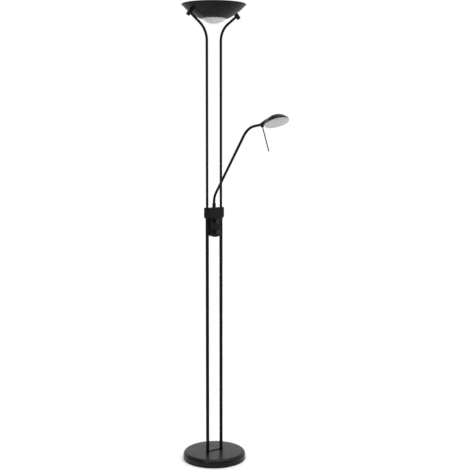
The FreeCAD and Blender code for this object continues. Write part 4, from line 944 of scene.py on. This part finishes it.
# %% Opal glass
low, high = spans("opal_glass")
tip_z, top_z, glass_r, flange_r, glass_t = low.z, high.z, 45.0, high.x, 3.0
edge_z = bowl_low - 2.0
sphere = (glass_r ** 2 + (edge_z - tip_z) ** 2) / (2 * (edge_z - tip_z))
centre_z = tip_z + sphere
half_angle = math.degrees(math.asin(glass_r / sphere))
dome = [(0, tip_z)] + arc(0, centre_z, sphere, -90, -90 + half_angle, 24)[1:]
dome += [(glass_r, top_z - 3.4), (glass_r + 0.3, top_z - 3.0), (flange_r - 0.5, top_z - 3.0),
         (flange_r, top_z - 2.5), (flange_r, top_z - 0.5), (flange_r - 0.5, top_z),
         (glass_r - glass_t + 0.8, top_z)]
inner = sphere - glass_t
inner_angle = math.degrees(math.asin((glass_r - glass_t) / inner))
dome += arc(0, centre_z, inner, -90 + inner_angle, -90, 20)[:-1] + [(0, tip_z + glass_t)]
piece(turned("opal_glass_dome", dome, sides=128), ["opal_glass"])

# %% [markdown]
# ## The reading head
# The head is a spun dome with a short skirt and a rolled edge. A flat neck runs from the
# pivot over the dome and widens towards its crown. The neck is lofted from soft-edged
# sections; where it meets the dome, its underside follows the dome's curve.

# %% Head shell and neck
reach, shell_r, crown, rim_z, skirt_z, shell_t = 81.8, 45.0, 1.0, -27.0, -24.0, 1.2
to_dome = to_head @ Matrix.Translation((0, -reach * mm, 0))


def cap_arc(radius, top, foot_z, steps):
    """Arc of a shallow dome from its crown to its foot."""
    rise = top - foot_z
    ball = (radius ** 2 + rise ** 2) / (2 * rise)
    opening = math.degrees(math.asin(radius / ball))
    return arc(0, top - ball, ball, 90, 90 - opening, steps)


edge_r = shell_t / 2
shell = [(0, crown)] + cap_arc(shell_r, crown, skirt_z, 30)[1:] + [(shell_r, rim_z + 0.8)]
shell += arc(shell_r - edge_r, rim_z + edge_r, edge_r, 0, -180, 6) + [(shell_r - shell_t, skirt_z)]
shell += cap_arc(shell_r - shell_t, crown - shell_t, skirt_z, 24)[::-1][1:-1] + [(0, crown - shell_t)]
dome_mesh = turned("head_spun_dome", shell, sides=128, place=to_dome)
piece(dome_mesh, ["head_shell"])

ball = (shell_r ** 2 + (crown - skirt_z) ** 2) / (2 * (crown - skirt_z))
strap = bmesh.new()
sections, neck_from, neck_steps = [], 14.0, 28
flat_under, flat_end, dive, dive_end, sunk = 0.5, 27, 12.5, 51.8, 0.6
for i in range(neck_steps + 1):
    y = neck_from + (reach - neck_from) * i / neck_steps
    share = (y - neck_from) / (reach - neck_from)
    half, top = 6.0 + 6.0 * share, 6.5 - 5.4 * share
    under = flat_under if y < flat_end else flat_under - dive * (y - flat_end) / (dive_end - flat_end)
    dome_z = crown - ball + math.sqrt(max(ball ** 2 - (reach - y) ** 2, 0)) - sunk
    under = max(under, dome_z) if reach - y < 40 else under
    soft = min(1.6, (top - under) * 0.45)
    outline = [(half, under)] + arc(half - soft, top - soft, soft, 0, 90, 4) + [(half * 0.5, top)]
    outline = outline + [(-x, z) for x, z in outline[::-1]]
    sections.append([strap.verts.new((x * mm, -y * mm, z * mm)) for x, z in outline])
lofted(strap, sections)
bmesh.ops.recalc_face_normals(strap, faces=strap.faces)
piece(as_mesh("head_neck_strap", strap, to_head), ["head_shell"])

# %% [markdown]
# The lens closes the head. Its outer face has one shallow step near the edge, and its inner
# face carries fine rings that spread the light.

# %% Lens
face_z = rim_z - 3.5
lens = [(0, face_z), (38, face_z), (38.5, face_z + 0.25), (39.5, face_z + 0.25), (40, face_z)]
lens += [(44.05, face_z)] + arc(44.05, face_z + 1.2, 1.2, -90, 0, 5)[1:]
lens += [(45.25, rim_z - 0.3), (45.0, rim_z), (42, rim_z), (42, rim_z + 3), (40, rim_z + 3)]
lens += [(40, rim_z - 0.5)]
lens += [(39 - 1.5 * k, rim_z - (0.5 if k % 2 else 0.9)) for k in range(25)] + [(0, rim_z - 0.6)]
piece(turned("head_frosted_lens", lens, sides=128, place=to_dome, crisp=50), ["head_lens"])

# %% [markdown]
# ## The tubular lamp
# Under the safety pane lies a halogen lamp: a clear quartz tube with ceramic caps and a
# coiled wire strung through it. The coil is a spiral curve given a round section.

# %% Lamp tube and coil
coil_tree, given = open_tree("coiled_wire", Turns="Float", Coil_radius="Float", Length="Float",
                             Wire_radius="Float", Finish="Material")
winding = {"Resolution": 12, "Rotations": given["Turns"], "Start Radius": given["Coil radius"],
           "End Radius": given["Coil radius"], "Height": given["Length"]}
spiral = node(coil_tree, "GeometryNodeCurveSpiral", winding)[0]
close_tree(coil_tree, swept(coil_tree, spiral, 5, given["Wire radius"]), given["Finish"])
low, high = spans("halogen_lamp")
lamp_z, cap_x = (low.z + high.z) / 2, high.x
across = Matrix.Translation((0, 0, lamp_z * mm)) @ Matrix.Rotation(math.pi / 2, 4, "Y")
coil_length = 44
coil_start = across @ Matrix.Translation((0, 0, -coil_length / 2 * mm))
coil = grown("lamp_coil", coil_tree, bpy.data.meshes.new("empty"), place=coil_start, Turns=40.0,
             Coil_radius=0.8 * mm, Length=coil_length * mm, Wire_radius=0.14 * mm, Finish=looks["dark_steel"])
piece(coil, ["halogen_lamp"], slot="dark_steel")
quartz = [(0, -29)] + arc(2.0, -26, 3, -90, 0, 6) + arc(2.0, 26, 3, 0, 90, 6) + [(0, 29)]
quartz_mesh = turned("lamp_quartz_tube", quartz, sides=40, place=across)
piece(quartz_mesh, ["halogen_lamp"])
cap = [(0, 28.5), (2.2, 28.5), (2.2, 30), (3.3, 30.2), (3.6, 30.6), (3.6, cap_x - 1), (3.0, cap_x - 0.3),
       (1.2, cap_x), (0, cap_x)]
for side, sign in (("right", 1), ("left", -1)):
    at_end = across @ Matrix.Diagonal((1, sign, sign, 1))
    piece(turned("lamp_end_cap_" + side, cap, sides=32, place=at_end), ["halogen_lamp"], slot="ceramic")

# %% [markdown]
# ## Turned fittings on the arm
# The collar and the flanged bush carry the arm in the housing. They are rings, so their
# outlines close on themselves and never touch the axis.

# %% Collar and bush
low, high = spans("arm_collar")
ring = [(5.02, low.z), (6.7, low.z), (7, low.z + 0.3), (7, high.z - 1.1), (6.9, high.z - 0.8),
        (6.2, high.z - 0.1), (5.9, high.z), (5.02, high.z)]
piece(turned("arm_turned_collar", ring, sides=64, closed=True), ["arm_collar"])
low, high = spans("swivel_bush")
bush = [(5.06, low.z), (6, low.z), (6, high.z - 1.5), (7.5, high.z - 1.5), (7.5, high.z - 0.5),
        (7.1, high.z), (5.06, high.z)]
piece(turned("swivel_flanged_bush", bush, sides=64, closed=True), ["swivel_bush"])

# %% [markdown]
# ## Softened copies
# Small machined and pressed parts are right as they are, but a real edge is never perfectly
# sharp. A copy of each is sewn together, its flat areas are joined, and a narrow bevel runs
# along its edges. The CAD piece itself is left alone.

# %% Soften the small parts
def softened(node_name, width, steps=2):
    """Show a CAD piece by a cleaned copy with a bevel of that width in millimetres."""
    mesh = frame["nodes"][node_name].data.copy()
    mesh.name = node_name + "_eased"
    shape = bmesh.new()
    shape.from_mesh(mesh)
    bmesh.ops.remove_doubles(shape, verts=shape.verts, dist=0.000002)
    bmesh.ops.dissolve_limit(shape, angle_limit=math.radians(0.5), verts=shape.verts, edges=shape.edges)
    shape.to_mesh(mesh)
    shape.free()
    if mesh.has_custom_normals:
        mesh.attributes.remove(mesh.attributes["custom_normal"])
    mesh.shade_smooth()
    mesh.set_sharp_from_angle(angle=math.radians(35))
    return bevelled(piece(mesh, [node_name]), width, steps, 45)


bevel_widths = {"arm_eye": 0.3, "head_knuckle": 0.45, "pivot_nut": 0.25, "pivot_screw": 0.2,
                "lamp_carrier": 0.25, "lamp_holders": 0.3, "pane_clips": 0.15, "ring_nuts": 0.2,
                "barrel_nuts": 0.35, "inlet_grommet": 0.4, "reflector": 0.15, "neck_screw": 0.2,
                "glass_ring": 0.2, "holder_screws": 0.2}
for name, width in bevel_widths.items():
    softened(name, width)

# %% [markdown]
# ## Check the size
# The visual lamp must stay inside the CAD lamp's box.

# %% Compare the boxes
new_low, new_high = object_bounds()
gaps = [abs(a - b) for a, b in zip([*cad_low, *cad_high], [*new_low, *new_high])]
print("largest difference, mm:", round(max(gaps) / mm, 3))
